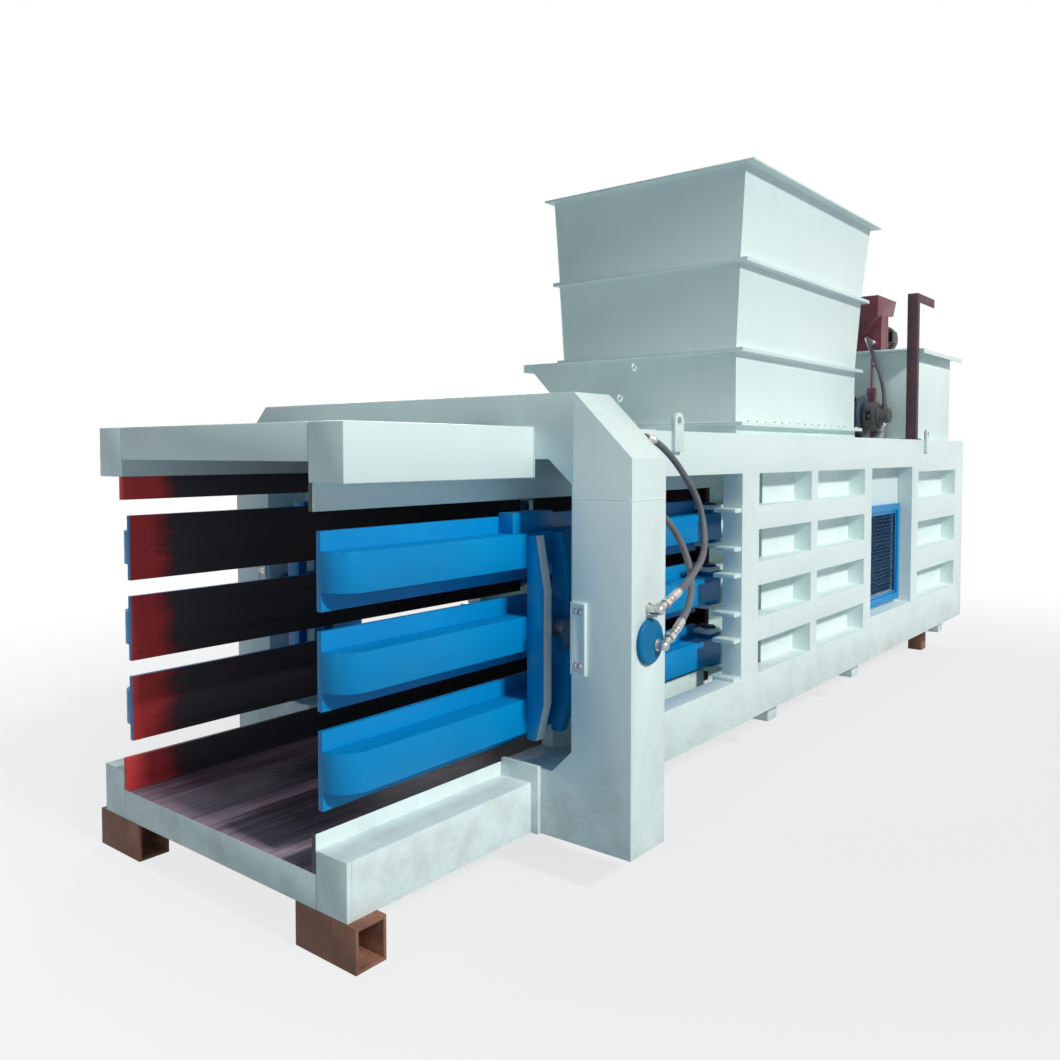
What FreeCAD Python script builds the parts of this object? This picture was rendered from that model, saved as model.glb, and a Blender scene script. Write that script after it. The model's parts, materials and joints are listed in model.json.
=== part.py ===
import FreeCAD, Part
import math
import os
import re

import Sketcher

# Horizontal recycling baler: press channel, side squeeze doors, hopper and power unit.
# Millimetres, +Z up. X runs along the machine with the bale outlet at -X, the near side is -Y,
# and the origin is on the ground at the centre of the machine's outline.

V = FreeCAD.Vector
doc = FreeCAD.newDocument("baler")

# ---------------------------------------------------------------- driving dimensions
SIZES = [
    # stations along the machine
    ("chute_length", 880), ("portal_depth", 220), ("frame_length", 4983), ("barrel_tail", 847),
    ("foot_height", 140),
    # press channel
    ("channel_half", 550), ("channel_height", 1248), ("deck_depth", 112), ("liner_thick", 20),
    ("slot_height", 60), ("slot_first", 153), ("slot_pitch", 305),
    # portal
    ("portal_reach", 580), ("portal_rise", 238), ("column_width", 250), ("portal_rail", 235),
    ("chamfer_width", 240), ("chamfer_drop", 231), ("inner_chamfer_width", 102),
    ("inner_chamfer_drop", 88), ("portal_sill", 240), ("sill_chamfer", 86),
    # side walls with their window lattice
    ("wall_reach", 317), ("wall_rise", 115), ("lattice_depth", 100), ("skin_thick", 10),
    ("top_rail", 186), ("bottom_rail", 210), ("cheek_depth", 73),
    ("post_front", 250), ("bay_hinge", 891), ("post_hinge", 181), ("bay_two", 640),
    ("post_two", 89), ("bay_three", 727), ("post_three", 125), ("bay_door", 797),
    ("post_four", 142), ("bay_rear", 921),
    ("window_height", 155), ("window_pitch", 270), ("rear_window_height", 190),
    ("rear_window_pitch", 346), ("rear_window_sill", 261), ("door_bay_sill", 261),
    ("pocket_depth", 1570), ("web_thick", 20), ("ledge_low", 116), ("ledge_room", 25),
    ("ledge_depth", 55), ("ledge_gap", 5),
    # outlet chute
    ("chute_reach", 162), ("chute_rise", 120), ("chute_beam_height", 184),
    ("cross_beam_depth", 150), ("side_beam_height", 185), ("flange_thick", 20),
    ("flange_reach", 34), ("flange_height", 250), ("chute_roof_thick", 20),
    # supports
    ("foot_inset", 83), ("foot_width", 283), ("foot_depth", 120), ("foot_wall", 12),
    ("rear_foot_from_end", 303), ("rear_foot_reach", 30), ("rear_foot_width", 100),
    ("rear_foot_length", 110), ("deck_beam_width", 110), ("deck_beam_height", 100),
    ("deck_beam_reach", 250),
    # squeeze doors
    ("door_front_gap", 28), ("door_plate", 20), ("door_beam_depth", 100), ("door_beam_height", 125),
    ("hinge_from_portal", 1520), ("boss_height", 17.5), ("boss_step", 2), ("pin_radius", 25),
    ("fit_gap", 0.05), ("pin_head_radius", 40), ("pin_head", 12), ("pin_tail", 10),
    ("running_gap", 0.3), ("hinge_plate_thick", 20), ("hinge_plate_front", 80),
    ("hinge_plate_reach", 50), ("finger_back", 60), ("liner_back", 80),
    # pressure pads and guide blocks on the doors, and side cylinders
    ("rib_thick", 46), ("rib_spacing", 102), ("rib_bottom", 218), ("rib_top", 973),
    ("rib_bend_low", 358), ("rib_bend_high", 778), ("rib_depth_end", 43), ("rib_depth_mid", 79),
    ("push_depth", 50), ("push_height", 195),
    ("guide_length", 240), ("guide_height", 76), ("guide_depth", 69), ("guide_from_portal", 32),
    ("cylinder_from_portal", 108), ("cylinder_height", 625), ("cylinder_radius", 75),
    ("gland_reach", 68), ("cap_lip", 4), ("cap_thick", 12),
    ("rod_radius", 35), ("rod_gap", 1.0), ("rod_length", 335), ("side_bore", 55),
    ("keeper_width", 63), ("keeper_height", 255), ("keeper_thick", 15),
    ("port_radius", 18), ("port_arm", 95), ("port_reach", 42), ("stub_radius", 16),
    ("stub_length", 35), ("nut_radius", 22), ("nut_length", 28), ("nut_from_port", 40),
    ("upper_port_lift", 34), ("upper_port_rise", 20), ("lower_port_shift", 32),
    ("lower_port_drop", 15), ("lower_port_rise", 27),
    ("manifold_gap", 15), ("manifold_side", 60), ("manifold_drop", 80), ("manifold_tall", 62),
    ("manifold_stub_side", 42), ("manifold_stub_drop", 34), ("manifold_foot_side", 32),
    ("manifold_foot_drop", 115),
    ("keeper_inset", 5), ("keeper_border", 12), ("keeper_sink", 5), ("keeper_bolt", 16),
    ("keeper_bolt_head", 8), ("keeper_bolt_offset", 10), ("keeper_bolt_rise", 95),
    ("gland_length", 60), ("cap_bevel", 4), ("piston_length", 50), ("rod_bevel", 10),
    # hopper
    ("hopper_from_portal", 1900), ("hopper_length", 1730), ("hopper_overlap", 5),
    ("curb_height", 65), ("lower_height", 390), ("middle_height", 464), ("upper_height", 501),
    ("hopper_wall", 8), ("joint_flange", 44), ("joint_front", 10), ("joint_thick", 10),
    ("mouth_flange", 66), ("mouth_front", 30), ("mouth_thick", 10),
    ("flare_start", 100), ("flare_reach", 229), ("ledge_flange", 85), ("ledge_lip", 48),
    ("middle_flare", 25), ("middle_front_flare", 10), ("middle_rear_flare", 30),
    ("upper_flare", 32), ("upper_front_flare", 10), ("upper_rear_flare", 70),
    # ram and main cylinder
    ("ram_clearance", 5), ("ram_front_gap", 10), ("ram_length", 1433), ("ram_face_thick", 60),
    ("ram_plate", 30), ("apron_thick", 12), ("apron_length", 370),
    ("main_radius", 160), ("main_bore", 130), ("main_rod_radius", 100),
    ("main_front_gap", 170), ("main_gland_length", 90), ("main_tail_wall", 60),
    ("crosshead_thick", 100), ("main_flange_radius", 230), ("main_flange_thick", 40),
    ("rod_end_gap", 120), ("rod_collar_reach", 40), ("rod_collar", 45),
    ("main_piston_gap", 170), ("main_piston", 90), ("knife_height", 60), ("knife_depth", 50),
    # roof
    ("roof_plate", 25), ("roof_rib", 40),
    # mesh door in the near wall
    ("mesh_door_width", 740), ("mesh_door_height", 650), ("mesh_door_lift", 20),
    ("mesh_door_frame", 45), ("mesh_door_thick", 30), ("mesh_bar", 6), ("mesh_pitch", 85),
    ("hatch_hinge_low", 97.5), ("hatch_hinge_high", 487.5), ("hatch_pin_offset", 9),
    ("hatch_pin_radius", 5), ("hatch_barrel_radius", 11), ("hatch_barrel_length", 60),
    ("hatch_ear", 18), ("hatch_pin_over", 4), ("hatch_ear_gap", 2), ("hatch_ear_depth", 14),
    ("mesh_door_inset", 30), ("mesh_depth", 12),
    # lifting lugs and bolts
    ("lug_radius", 36), ("lug_thick", 20), ("lug_foot", 85), ("lug_rise", 40),
    ("lug_eye_radius", 17), ("front_lug", 520), ("rear_lug", 140), ("flange_bolt", 18),
    ("flange_bolt_head", 10),
    # power unit
    ("tank_from_portal", 4150), ("tank_length", 870), ("tank_reach", 256), ("tank_width", 1150),
    ("tank_height", 620), ("tank_wall", 6), ("tank_lip", 45), ("lid_thick", 22),
    ("lid_near_lip", 70), ("post_from_tank", 108), ("post_width", 70), ("post_depth", 45),
    ("post_height", 1002), ("post_arm", 385), ("post_arm_height", 60), ("post_wall", 6),
    ("post_near_gap", 44), ("post_foot", 110), ("post_foot_thick", 8),
    ("post_foot_front", 25), ("post_foot_side", 10),
    ("motor_from_tank", 260), ("motor_radius", 130), ("motor_fin", 20), ("motor_length", 530),
    ("motor_reach", 10), ("motor_lift", 165), ("fin_thick", 4), ("fin_start", 30),
    ("cowl_length", 80),
    ("terminal_half", 60), ("terminal_from_shaft", 120), ("terminal_length", 140),
    ("terminal_sink", 20), ("terminal_rise", 55), ("rail_start", 60), ("rail_thick", 22),
    ("pedestal_start", 80), ("pedestal_length", 40), ("pedestal_inset", 10), ("pedestal_lap", 40),
    ("shaft_well_depth", 60), ("bell_length", 80), ("bell_radius", 95), ("bell_wall", 14),
    ("bell_port_reach", 12), ("window_margin", 24), ("window_seat", 22), ("window_half", 28),
    ("shaft_reach", 30), ("shaft_depth", 50), ("hub_radius", 42), ("hub_length", 26),
    ("hub_start", 18), ("spider_radius", 37), ("spider_length", 4),
    ("pump_length", 80), ("pump_radius", 50), ("pump_flange_reach", 24), ("pump_flange_thick", 16),
    ("pump_port", 36), ("pump_port_radius", 20), ("pump_port_reach", 26), ("pump_well", 32),
    ("shaft_radius", 19),
    ("valve_from_motor", 115), ("valve_side", 80), ("valve_height", 95), ("coil_side", 55),
    ("coil_radius", 14), ("coil_length", 46), ("first_coil", 20), ("coil_pitch", 38),
    ("valve_stub_front", 52), ("valve_stub_side", 20),
    ("line_from_tank", 36), ("line_inset", 42), ("line_radius", 9), ("bowl_lift", 205),
    ("bowl_radius", 26), ("bowl_length", 110), ("head_radius", 33), ("head_length", 55),
    ("clip_lift", 520), ("clip_half", 8),
    ("cooler_from_tank", 300), ("cooler_inset", 110), ("cooler_width", 300),
    ("cooler_height", 443), ("hood_length", 420), ("hood_lean", 10), ("hood_depth", 100),
    ("hood_lip", 15), ("hood_tail", 60),
    ("duct_share", 0.36), ("duct_drop", 20), ("duct_depth", 80), ("core_length", 150),
    ("core_height", 310), ("core_stub_reach", 60), ("core_stub_side", 40), ("core_stub_lift", 93),
    ("fan_height", 170), ("shroud_radius", 140), ("shroud_length", 50), ("fan_clearance", 8),
    ("fan_radius", 122), ("fan_hub_radius", 34), ("fan_hub_length", 36), ("fan_gap", 4),
    ("blade_thick", 4), ("blade_chord", 44), ("blade_place", 22), ("fan_shaft_radius", 9),
    ("fan_shaft_gap", 6), ("fan_shaft_length", 80), ("fan_motor_gap", 8),
    ("fan_motor_radius", 115), ("fan_motor_length", 320), ("fan_foot_start", 90),
    ("fan_foot_length", 150), ("fan_foot_width", 140), ("fan_foot_lap", 40),
    ("fan_box_length", 110), ("fan_box_depth", 60), ("fan_box_reach", 30), ("fan_box_height", 80),
    ("hose_radius", 13), ("power_hose_radius", 14),
]

sheet = doc.addObject("Spreadsheet::Sheet", "Sizes")
for row, (alias, size) in enumerate(SIZES, 1):
    sheet.set(f"A{row}", alias)
    sheet.set(f"B{row}", str(size))
    sheet.setAlias(f"B{row}", alias)

# places worked out from the driving dimensions
PLACES = [
    ("portal_half", "channel_half + portal_reach"),
    ("portal_height", "deck_depth + channel_height + portal_rise"),
    ("wall_half", "channel_half + wall_reach"),
    ("wall_height", "channel_height + wall_rise"),
    ("cheek_reach", "wall_half + cheek_depth"),
    ("chute_half", "channel_half + chute_reach"),
    ("chute_top", "deck_depth + channel_height + chute_rise"),
    ("foot_inner", "channel_half - foot_inset"),
    ("foot_outer", "foot_inner + foot_width"),
    ("rear_foot_inner", "channel_half + rear_foot_reach"),
    ("deck_beam_half", "channel_half + deck_beam_reach"),
    ("cap_radius", "cylinder_radius + cap_lip"),
    ("hopper_half", "channel_half + hopper_overlap"),
    ("ledge_high", "slot_first + (slot_pitch - door_beam_height) / 2 - ledge_room"),
    ("tank_near", "channel_half + tank_reach"),
    ("motor_near", "channel_half + motor_reach"),
    ("cooler_near", "channel_half - cooler_inset"),
    ("machine_length", "chute_length + portal_depth + frame_length + barrel_tail"),
    ("chute_x", "-machine_length / 2"),
    ("portal_x", "chute_x + chute_length"),
    ("portal_back", "portal_x + portal_depth"),
    ("frame_end", "portal_back + frame_length"),
    ("deck_top", "foot_height + deck_depth"),
    ("roof_z", "deck_top + channel_height"),
    ("wall_top", "deck_top + wall_height"),
    ("liner_half", "channel_half + liner_thick"),
    ("skin_half", "wall_half - lattice_depth"),
    ("portal_top", "foot_height + portal_height"),
    ("opening_half", "portal_half - column_width"),
    ("opening_top", "portal_top - portal_rail"),
    ("slot_low", "deck_top + slot_first - slot_height / 2"),
    ("slot_high", "deck_top + slot_first + 3 * slot_pitch + slot_height / 2"),
    ("hinge_x", "portal_x + hinge_from_portal"),
    ("hinge_y", "channel_half + (door_plate + door_beam_depth) / 2"),
    ("boss_radius", "(door_plate + door_beam_depth) / 2"),
    ("beam_face", "channel_half + door_plate + door_beam_depth"),
    ("pocket_x", "portal_back + pocket_depth"),
    ("bay_hinge_x", "portal_back + post_front"),
    ("bay_two_x", "bay_hinge_x + bay_hinge + post_hinge"),
    ("bay_three_x", "bay_two_x + bay_two + post_two"),
    ("bay_door_x", "bay_three_x + bay_three + post_three"),
    ("bay_rear_x", "bay_door_x + bay_door + post_four"),
    ("cylinder_x", "portal_x + cylinder_from_portal"),
    ("cylinder_z", "foot_height + deck_depth + cylinder_height"),
    ("hopper_x", "portal_x + hopper_from_portal"),
    ("hopper_back", "hopper_x + hopper_length"),
    ("curb_top", "wall_top + curb_height"),
    ("lower_top", "curb_top + lower_height"),
    ("middle_top", "lower_top + middle_height"),
    ("upper_top", "middle_top + upper_height"),
    ("ram_x", "hopper_back + ram_front_gap"),
    ("ram_half", "channel_half - ram_clearance"),
    ("ram_low", "deck_top + ram_clearance"),
    ("ram_high", "roof_z - ram_clearance"),
    ("ram_mid_z", "deck_top + channel_height / 2"),
    ("barrel_x", "ram_x + ram_face_thick + ram_plate + main_front_gap"),
    ("barrel_end", "frame_end + barrel_tail"),
    ("crosshead_x", "frame_end - crosshead_thick"),
    ("tank_x", "portal_x + tank_from_portal"),
    ("tank_top", "wall_top + tank_height"),
    ("motor_x", "tank_x - motor_from_tank"),
    ("motor_z", "wall_top + motor_lift"),
    ("cooler_x", "tank_x + cooler_from_tank"),
    ("cooler_z", "tank_top + lid_thick"),
]

WORD = re.compile(r"\b[a-z][a-z_]*[a-z]\b")
SIZE_NAMES = {alias for alias, _ in SIZES}
PLACE_NAMES = {alias for alias, _ in PLACES}


def bound(expression, inside_places=False):
    """Give each named value in an expression the name of the sheet that holds it."""
    def with_sheet(match):
        word = match.group(0)
        if word in SIZE_NAMES:
            return "Sizes." + word
        if word in PLACE_NAMES and not inside_places:
            return "Places." + word
        return word
    return WORD.sub(with_sheet, str(expression))


places = doc.addObject("Spreadsheet::Sheet", "Places")
for row, (alias, expression) in enumerate(PLACES, 1):
    places.set(f"A{row}", alias)
    places.set(f"B{row}", "=" + bound(expression, inside_places=True))
    places.setAlias(f"B{row}", alias)
    doc.recompute()


def value(expression):
    """The number that an expression of named values comes to."""
    return float(sheet.evalExpression(bound(expression)))


# ---------------------------------------------------------------- building blocks
AXES = {"X": FreeCAD.Rotation(V(0, 1, 0), 90), "Y": FreeCAD.Rotation(V(1, 0, 0), -90),
        "Z": FreeCAD.Rotation()}
NODES = []


def place(item, x, y, z):
    """Tie an object's position to expressions."""
    for name, expression in zip("xyz", (x, y, z)):
        item.setExpression("Placement.Base." + name, bound(expression))
    return item


def box(x, y, z, length, width, height):
    """A block from its lowest corner and its three sizes."""
    item = doc.addObject("Part::Box", "block")
    for name, expression in (("Length", length), ("Width", width), ("Height", height)):
        item.setExpression(name, bound(expression))
    return place(item, x, y, z)


def span(x0, x1, y0, y1, z0, z1):
    """A block between two limits on each axis."""
    return box(x0, y0, z0, f"({x1}) - ({x0})", f"({y1}) - ({y0})", f"({z1}) - ({z0})")


def rod(axis, x, y, z, radius, length, turn=None):
    """A cylinder along an axis, or along a given rotation of +Z."""
    item = doc.addObject("Part::Cylinder", "round")
    item.Placement = FreeCAD.Placement(V(), turn or AXES[axis])
    item.setExpression("Radius", bound(radius))
    item.setExpression("Height", bound(length))
    return place(item, x, y, z)


def faceted(axis, x, y, z, radius, length, sides, turn=None):
    """A many-sided prism along an axis, or along a given rotation of +Z."""
    item = doc.addObject("Part::Prism", "facets")
    item.Placement = FreeCAD.Placement(V(), turn or AXES[axis])
    item.Polygon = sides
    item.setExpression("Circumradius", bound(radius))
    item.setExpression("Height", bound(length))
    return place(item, x, y, z)


def pin_hole(axis, x, y, z, radius, length):
    """A sixteen-sided hole whose flats just clear a round pin."""
    return faceted(axis, x, y, z, f"({radius}) / cos(180 deg / 16)", length, 16)


def fuse(*parts):
    """One solid from several that meet."""
    item = doc.addObject("Part::MultiFuse", "joined")
    item.Shapes = list(parts)
    item.Refine = True
    return item


def cut(base, *tools):
    """A solid less one or more others."""
    item = doc.addObject("Part::Cut", "cut")
    item.Base = base
    item.Tool = tools[0] if len(tools) == 1 else fuse(*tools)
    item.Refine = True
    return item


def group(*parts):
    """Several separate solids that share a node."""
    item = doc.addObject("Part::Compound", "set")
    item.Links = list(parts)
    return item


def mirrored(source):
    """The same shape on the other side of the machine's middle plane."""
    item = doc.addObject("Part::Mirroring", "mirrored")
    item.Source = source
    item.Normal = V(0, 1, 0)
    return item


def outline(body, plane, corners, offset=None):
    """A closed sketch whose corners are tied to expressions, on one of the body's own planes."""
    sketch = body.newObject("Sketcher::SketchObject", "outline")
    support = [item for item in body.Origin.OriginFeatures if item.Role == plane][0]
    sketch.AttachmentSupport = [(support, "")]
    sketch.MapMode = "FlatFace"
    points = [(value(first), value(second)) for first, second in corners]
    count = len(points)
    for number, start in enumerate(points):
        end = points[(number + 1) % count]
        sketch.addGeometry(Part.LineSegment(V(start[0], start[1], 0), V(end[0], end[1], 0)))
    for number in range(count):
        sketch.addConstraint(Sketcher.Constraint("Coincident", number, 2, (number + 1) % count, 1))
    for number, corner in enumerate(corners):
        for kind, expression, number_now in zip(("DistanceX", "DistanceY"), corner, points[number]):
            datum = Sketcher.Constraint(kind, -1, 1, number, 1, number_now)
            index = sketch.addConstraint(datum)
            sketch.setExpression(f"Constraints[{index}]", bound(expression))
    if offset:
        sketch.setExpression("AttachmentOffset.Base.z", bound(offset))
    return sketch


def pad(plane, corners, length, x="0", y="0", z="0"):
    """A body with one outline padded along its plane's normal (+X, -Y or +Z)."""
    body = doc.addObject("PartDesign::Body", "plate")
    feature = body.newObject("PartDesign::Pad", "pad")
    feature.Profile = outline(body, plane, corners)
    feature.setExpression("Length", bound(length))
    return place(body, x, y, z)


def loft(sections):
    """A body lofted through outlines at heights, each given as (height, corners)."""
    body = doc.addObject("PartDesign::Body", "shell")
    sketches = [outline(body, "XY_Plane", corners, height) for height, corners in sections]
    feature = body.newObject("PartDesign::AdditiveLoft", "loft")
    feature.Profile = sketches[0]
    feature.Sections = sketches[1:]
    feature.Ruled = True
    return body


def turned(profile, axis_turn, x, y, z):
    """A body revolved about its own Z axis from (radius, height) corners, then placed."""
    body = doc.addObject("PartDesign::Body", "turned")
    sketch = outline(body, "XZ_Plane", profile)
    feature = body.newObject("PartDesign::Revolution", "turn")
    feature.Profile = sketch
    feature.ReferenceAxis = (sketch, ["V_Axis"])
    feature.Angle = 360
    body.Placement = FreeCAD.Placement(V(), axis_turn)
    return place(body, x, y, z)


def node(label, item):
    """Name a finished sub-part."""
    item.Label = label
    NODES.append(item)
    return item


def both_sides(label, near):
    """The near sub-part and its mirror image on the far side."""
    node(label + "_near", near)
    node(label + "_far", mirrored(near))


HOSE_SIDES = 6


def tube_along(points, radius, label):
    """A hose of six flats: straight runs joined by tangent arcs as large as the runs allow."""
    points = [V(*point) for point in points]
    corners, radii = [], []
    for before, here, after in zip(points, points[1:], points[2:]):
        back, ahead = before - here, after - here
        turn = math.pi - back.getAngle(ahead)
        reach = 0.45 * min(back.Length, ahead.Length)
        radii.append(reach / math.tan(turn / 2))
        start = here + back.normalize() * reach
        end = here + ahead.normalize() * reach
        middle_way = (back + ahead).normalize()
        depth = radii[-1] / math.cos(turn / 2) - radii[-1]
        corners.append((start, here + middle_way * depth, end))
    edges, last = [], points[0]
    for start, middle, end in corners:
        edges.append(Part.LineSegment(last, start).toShape())
        edges.append(Part.Arc(start, middle, end).toShape())
        last = end
    edges.append(Part.LineSegment(last, points[-1]).toShape())
    path = Part.Wire(edges)
    facing = FreeCAD.Rotation(V(0, 0, 1), points[1] - points[0])
    around = [360 / HOSE_SIDES * number for number in range(HOSE_SIDES)]
    flats = [points[0] + facing.multVec(FreeCAD.Rotation(V(0, 0, 1), angle).multVec(V(radius, 0, 0)))
             for angle in around]
    section = Part.makePolygon(flats + flats[:1])
    item = doc.addObject("Part::Feature", "hose")
    item.Shape = path.makePipeShell([section], True, False)
    share = item.Shape.Volume / (Part.Face(section).Area * path.Length)
    print(label, "length", round(path.Length), "least radius", round(min(radii)),
          "radii", [round(r) for r in radii], "volume share", round(share, 4))
    return node(label, item)


# ---------------------------------------------------------------- portal at the channel's mouth
half_portal = [
    ("portal_half", "foot_height"),
    ("portal_half", "portal_top - chamfer_drop"),
    ("portal_half - chamfer_width", "portal_top"),
]
half_opening = [
    ("opening_half - inner_chamfer_width", "opening_top"),
    ("opening_half", "opening_top - inner_chamfer_drop"),
    ("opening_half", "foot_height + portal_sill + sill_chamfer"),
    ("opening_half - sill_chamfer", "foot_height + portal_sill"),
    ("liner_half", "foot_height + portal_sill"),
    ("liner_half", "foot_height"),
]


def other_side(corners):
    """Corners mirrored to -Y, in the reverse order."""
    return [(f"-({first})", second) for first, second in reversed(corners)]


portal_corners = half_portal + other_side(half_portal)
portal_corners += other_side(half_opening) + half_opening
portal_block = pad("YZ_Plane", portal_corners, "portal_depth", x="portal_x")
barrel_holes = [rod("Y", "cylinder_x", f"{side} * portal_half - column_width", "cylinder_z",
                    "cylinder_radius + fit_gap", "2 * column_width") for side in (-1, 1)]
node("portal_frame", cut(portal_block, *barrel_holes))

# ---------------------------------------------------------------- side walls
windows = []
for column, rows in (("two", 4), ("three", 4)):
    for row in range(rows):
        windows.append(box(f"bay_{column}_x", "-wall_half",
                           f"deck_top + bottom_rail + {row} * window_pitch",
                           f"bay_{column}", "lattice_depth", "window_height"))
for row in range(3):
    windows.append(box("bay_rear_x", "-wall_half",
                       f"deck_top + rear_window_sill + {row} * rear_window_pitch",
                       "bay_rear", "lattice_depth", "rear_window_height"))
hinge_bay = span("bay_hinge_x", "bay_hinge_x + bay_hinge", "-wall_half", "-skin_half",
                 "deck_top + bottom_rail", "wall_top - top_rail")
door_bay = span("bay_door_x", "bay_door_x + bay_door", "-wall_half", "-skin_half",
                "deck_top + door_bay_sill", "wall_top - top_rail")
door_hole = span("bay_door_x + mesh_door_frame", "bay_door_x + bay_door - 2 * mesh_door_frame",
                 "-skin_half", "-skin_half + skin_thick",
                 "deck_top + door_bay_sill + 2 * mesh_door_frame",
                 "deck_top + door_bay_sill + mesh_door_height - mesh_door_frame")
hinge_pocket = span("portal_back", "pocket_x", "-skin_half", "-liner_half",
                    "deck_top + web_thick", "wall_top - web_thick")
rear_hollow = span("pocket_x + web_thick", "frame_end - web_thick", "-skin_half + skin_thick",
                   "-liner_half", "deck_top + web_thick", "wall_top - web_thick")
wall_block = span("portal_back", "frame_end", "-wall_half", "-liner_half", "deck_top", "wall_top")
cheek = span("portal_back", "bay_hinge_x", "-cheek_reach", "-wall_half", "deck_top", "wall_top")
ledge = span("portal_back", "hinge_x - hinge_plate_front", "-liner_half - ledge_gap - ledge_depth",
             "-liner_half - ledge_gap", "deck_top + ledge_low", "deck_top + ledge_high")
ledge_foot = span("portal_back", "hinge_x - hinge_plate_front", "-liner_half - ledge_gap - web_thick",
                  "-liner_half - ledge_gap", "deck_top + web_thick", "deck_top + ledge_low")
near_wall = fuse(cut(wall_block, hinge_bay, door_bay, door_hole, hinge_pocket, rear_hollow,
                     *windows), cheek, ledge, ledge_foot)
both_sides("side_wall", near_wall)

# wear plates that line the channel, open beside the squeeze doors
liner_panel = span("portal_x", "frame_end", "-liner_half", "-channel_half", "deck_top", "roof_z")
chute_strip = span("chute_x", "portal_x", "-liner_half", "-channel_half", "deck_top",
                   "foot_height + chute_top - chute_beam_height")
door_gap = span("chute_x", "hinge_x + liner_back", "-liner_half", "-channel_half",
                "slot_low", "slot_high")
both_sides("wall_liner", cut(fuse(liner_panel, chute_strip), door_gap))

# floor, with cross beams that carry the side walls
deck = span("chute_x", "frame_end", "-liner_half", "liner_half", "foot_height", "deck_top")
deck_beams = [span(f"{centre} - deck_beam_width / 2", f"{centre} + deck_beam_width / 2",
                   "-deck_beam_half", "deck_beam_half", "deck_top - deck_beam_height", "deck_top")
              for centre in ("(portal_back + post_front / 2)",
                             "(bay_two_x + bay_two / 2)",
                             "(bay_door_x - post_three / 2)",
                             "(frame_end - rear_foot_from_end)")]
node("floor_deck", fuse(deck, *deck_beams))

# roof before and behind the feed opening: a plate with lengthwise ribs
RIB_PLACES = ("-liner_half", "-roof_rib / 2", "liner_half - roof_rib")


def roof(label, x0, x1, *deck_plates):
    """A roof section whose ribs and ends rise to the top of the side walls."""
    plate = span(x0, x1, "-liner_half", "liner_half", "roof_z", "roof_z + roof_plate")
    ribs = [span(x0, x1, rib, f"{rib} + roof_rib", "roof_z + roof_plate", "wall_top")
            for rib in RIB_PLACES]
    ends = [span(end, f"{end} + roof_rib", "-liner_half", "liner_half", "roof_z + roof_plate",
                 "wall_top") for end in (f"{x0}", f"{x1} - roof_rib")]
    node(label, fuse(plate, *ribs, *ends, *deck_plates))


roof("roof_front", "portal_back", "hopper_x")
roof("roof_rear", "hopper_back", "frame_end",
     span("hopper_back", "frame_end", "-liner_half", "liner_half", "wall_top - web_thick",
          "wall_top"))

# shear knife under the front edge of the feed opening
node("fixed_knife", box("hopper_x", "-ram_half", "roof_z + ram_clearance", "knife_depth",
                        "2 * ram_half", "knife_height"))

# crosshead across the rear end, bored for the main cylinder
crosshead = span("crosshead_x", "frame_end", "-liner_half + liner_thick",
                 "liner_half - liner_thick", "deck_top", "ram_high - apron_thick - ram_clearance")
node("rear_crosshead", cut(crosshead, rod("X", "crosshead_x", "0", "ram_mid_z",
                                          "main_radius + fit_gap", "crosshead_thick")))

# ---------------------------------------------------------------- outlet chute
both_sides("chute_top_beam", span("chute_x", "portal_x", "-chute_half", "-channel_half",
                                  "foot_height + chute_top - chute_beam_height",
                                  "foot_height + chute_top"))
front_beam = span("chute_x", "chute_x + cross_beam_depth", "-channel_half", "channel_half",
                  "roof_z", "foot_height + chute_top")
chute_roof = span("chute_x + cross_beam_depth", "portal_x", "-channel_half", "channel_half",
                  "roof_z", "roof_z + chute_roof_thick")
node("chute_front_beam", fuse(front_beam, chute_roof))
side_beam = span("chute_x", "portal_x - flange_thick", "-chute_half", "-liner_half",
                 "foot_height", "foot_height + side_beam_height")
end_flange = span("portal_x - flange_thick", "portal_x", "-chute_half - flange_reach",
                  "-liner_half", "foot_height", "foot_height + flange_height")
both_sides("chute_side_beam", fuse(side_beam, end_flange))

# ---------------------------------------------------------------- supports
feet = []
for side in (-1, 1):
    low, high = ("-foot_outer", "-foot_inner") if side < 0 else ("foot_inner", "foot_outer")
    tube = span("chute_x", "chute_x + foot_depth", low, high, "0", "foot_height")
    bore = span("chute_x + foot_wall", "chute_x + foot_depth - foot_wall", low, high,
                "foot_wall", "foot_height - foot_wall")
    feet.append(cut(tube, bore))
    low = "rear_foot_inner" if side > 0 else "-rear_foot_inner - rear_foot_width"
    feet.append(box("frame_end - rear_foot_from_end - rear_foot_length / 2", low, "0",
                    "rear_foot_length", "rear_foot_width", "deck_top - deck_beam_height"))
node("support_feet", group(*feet))

# ---------------------------------------------------------------- squeeze doors
FINGERS = range(3)
finger_height = "(slot_pitch - slot_height)"
door_front = "(chute_x + door_front_gap)"


def finger_low(number):
    """Height of a finger's lower edge."""
    return f"(slot_low + slot_height + {number} * slot_pitch)"


def beam_mid(number):
    """Height of a finger's middle, where its box beam lies."""
    return f"({finger_low(number)} + {finger_height} / 2)"


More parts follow.
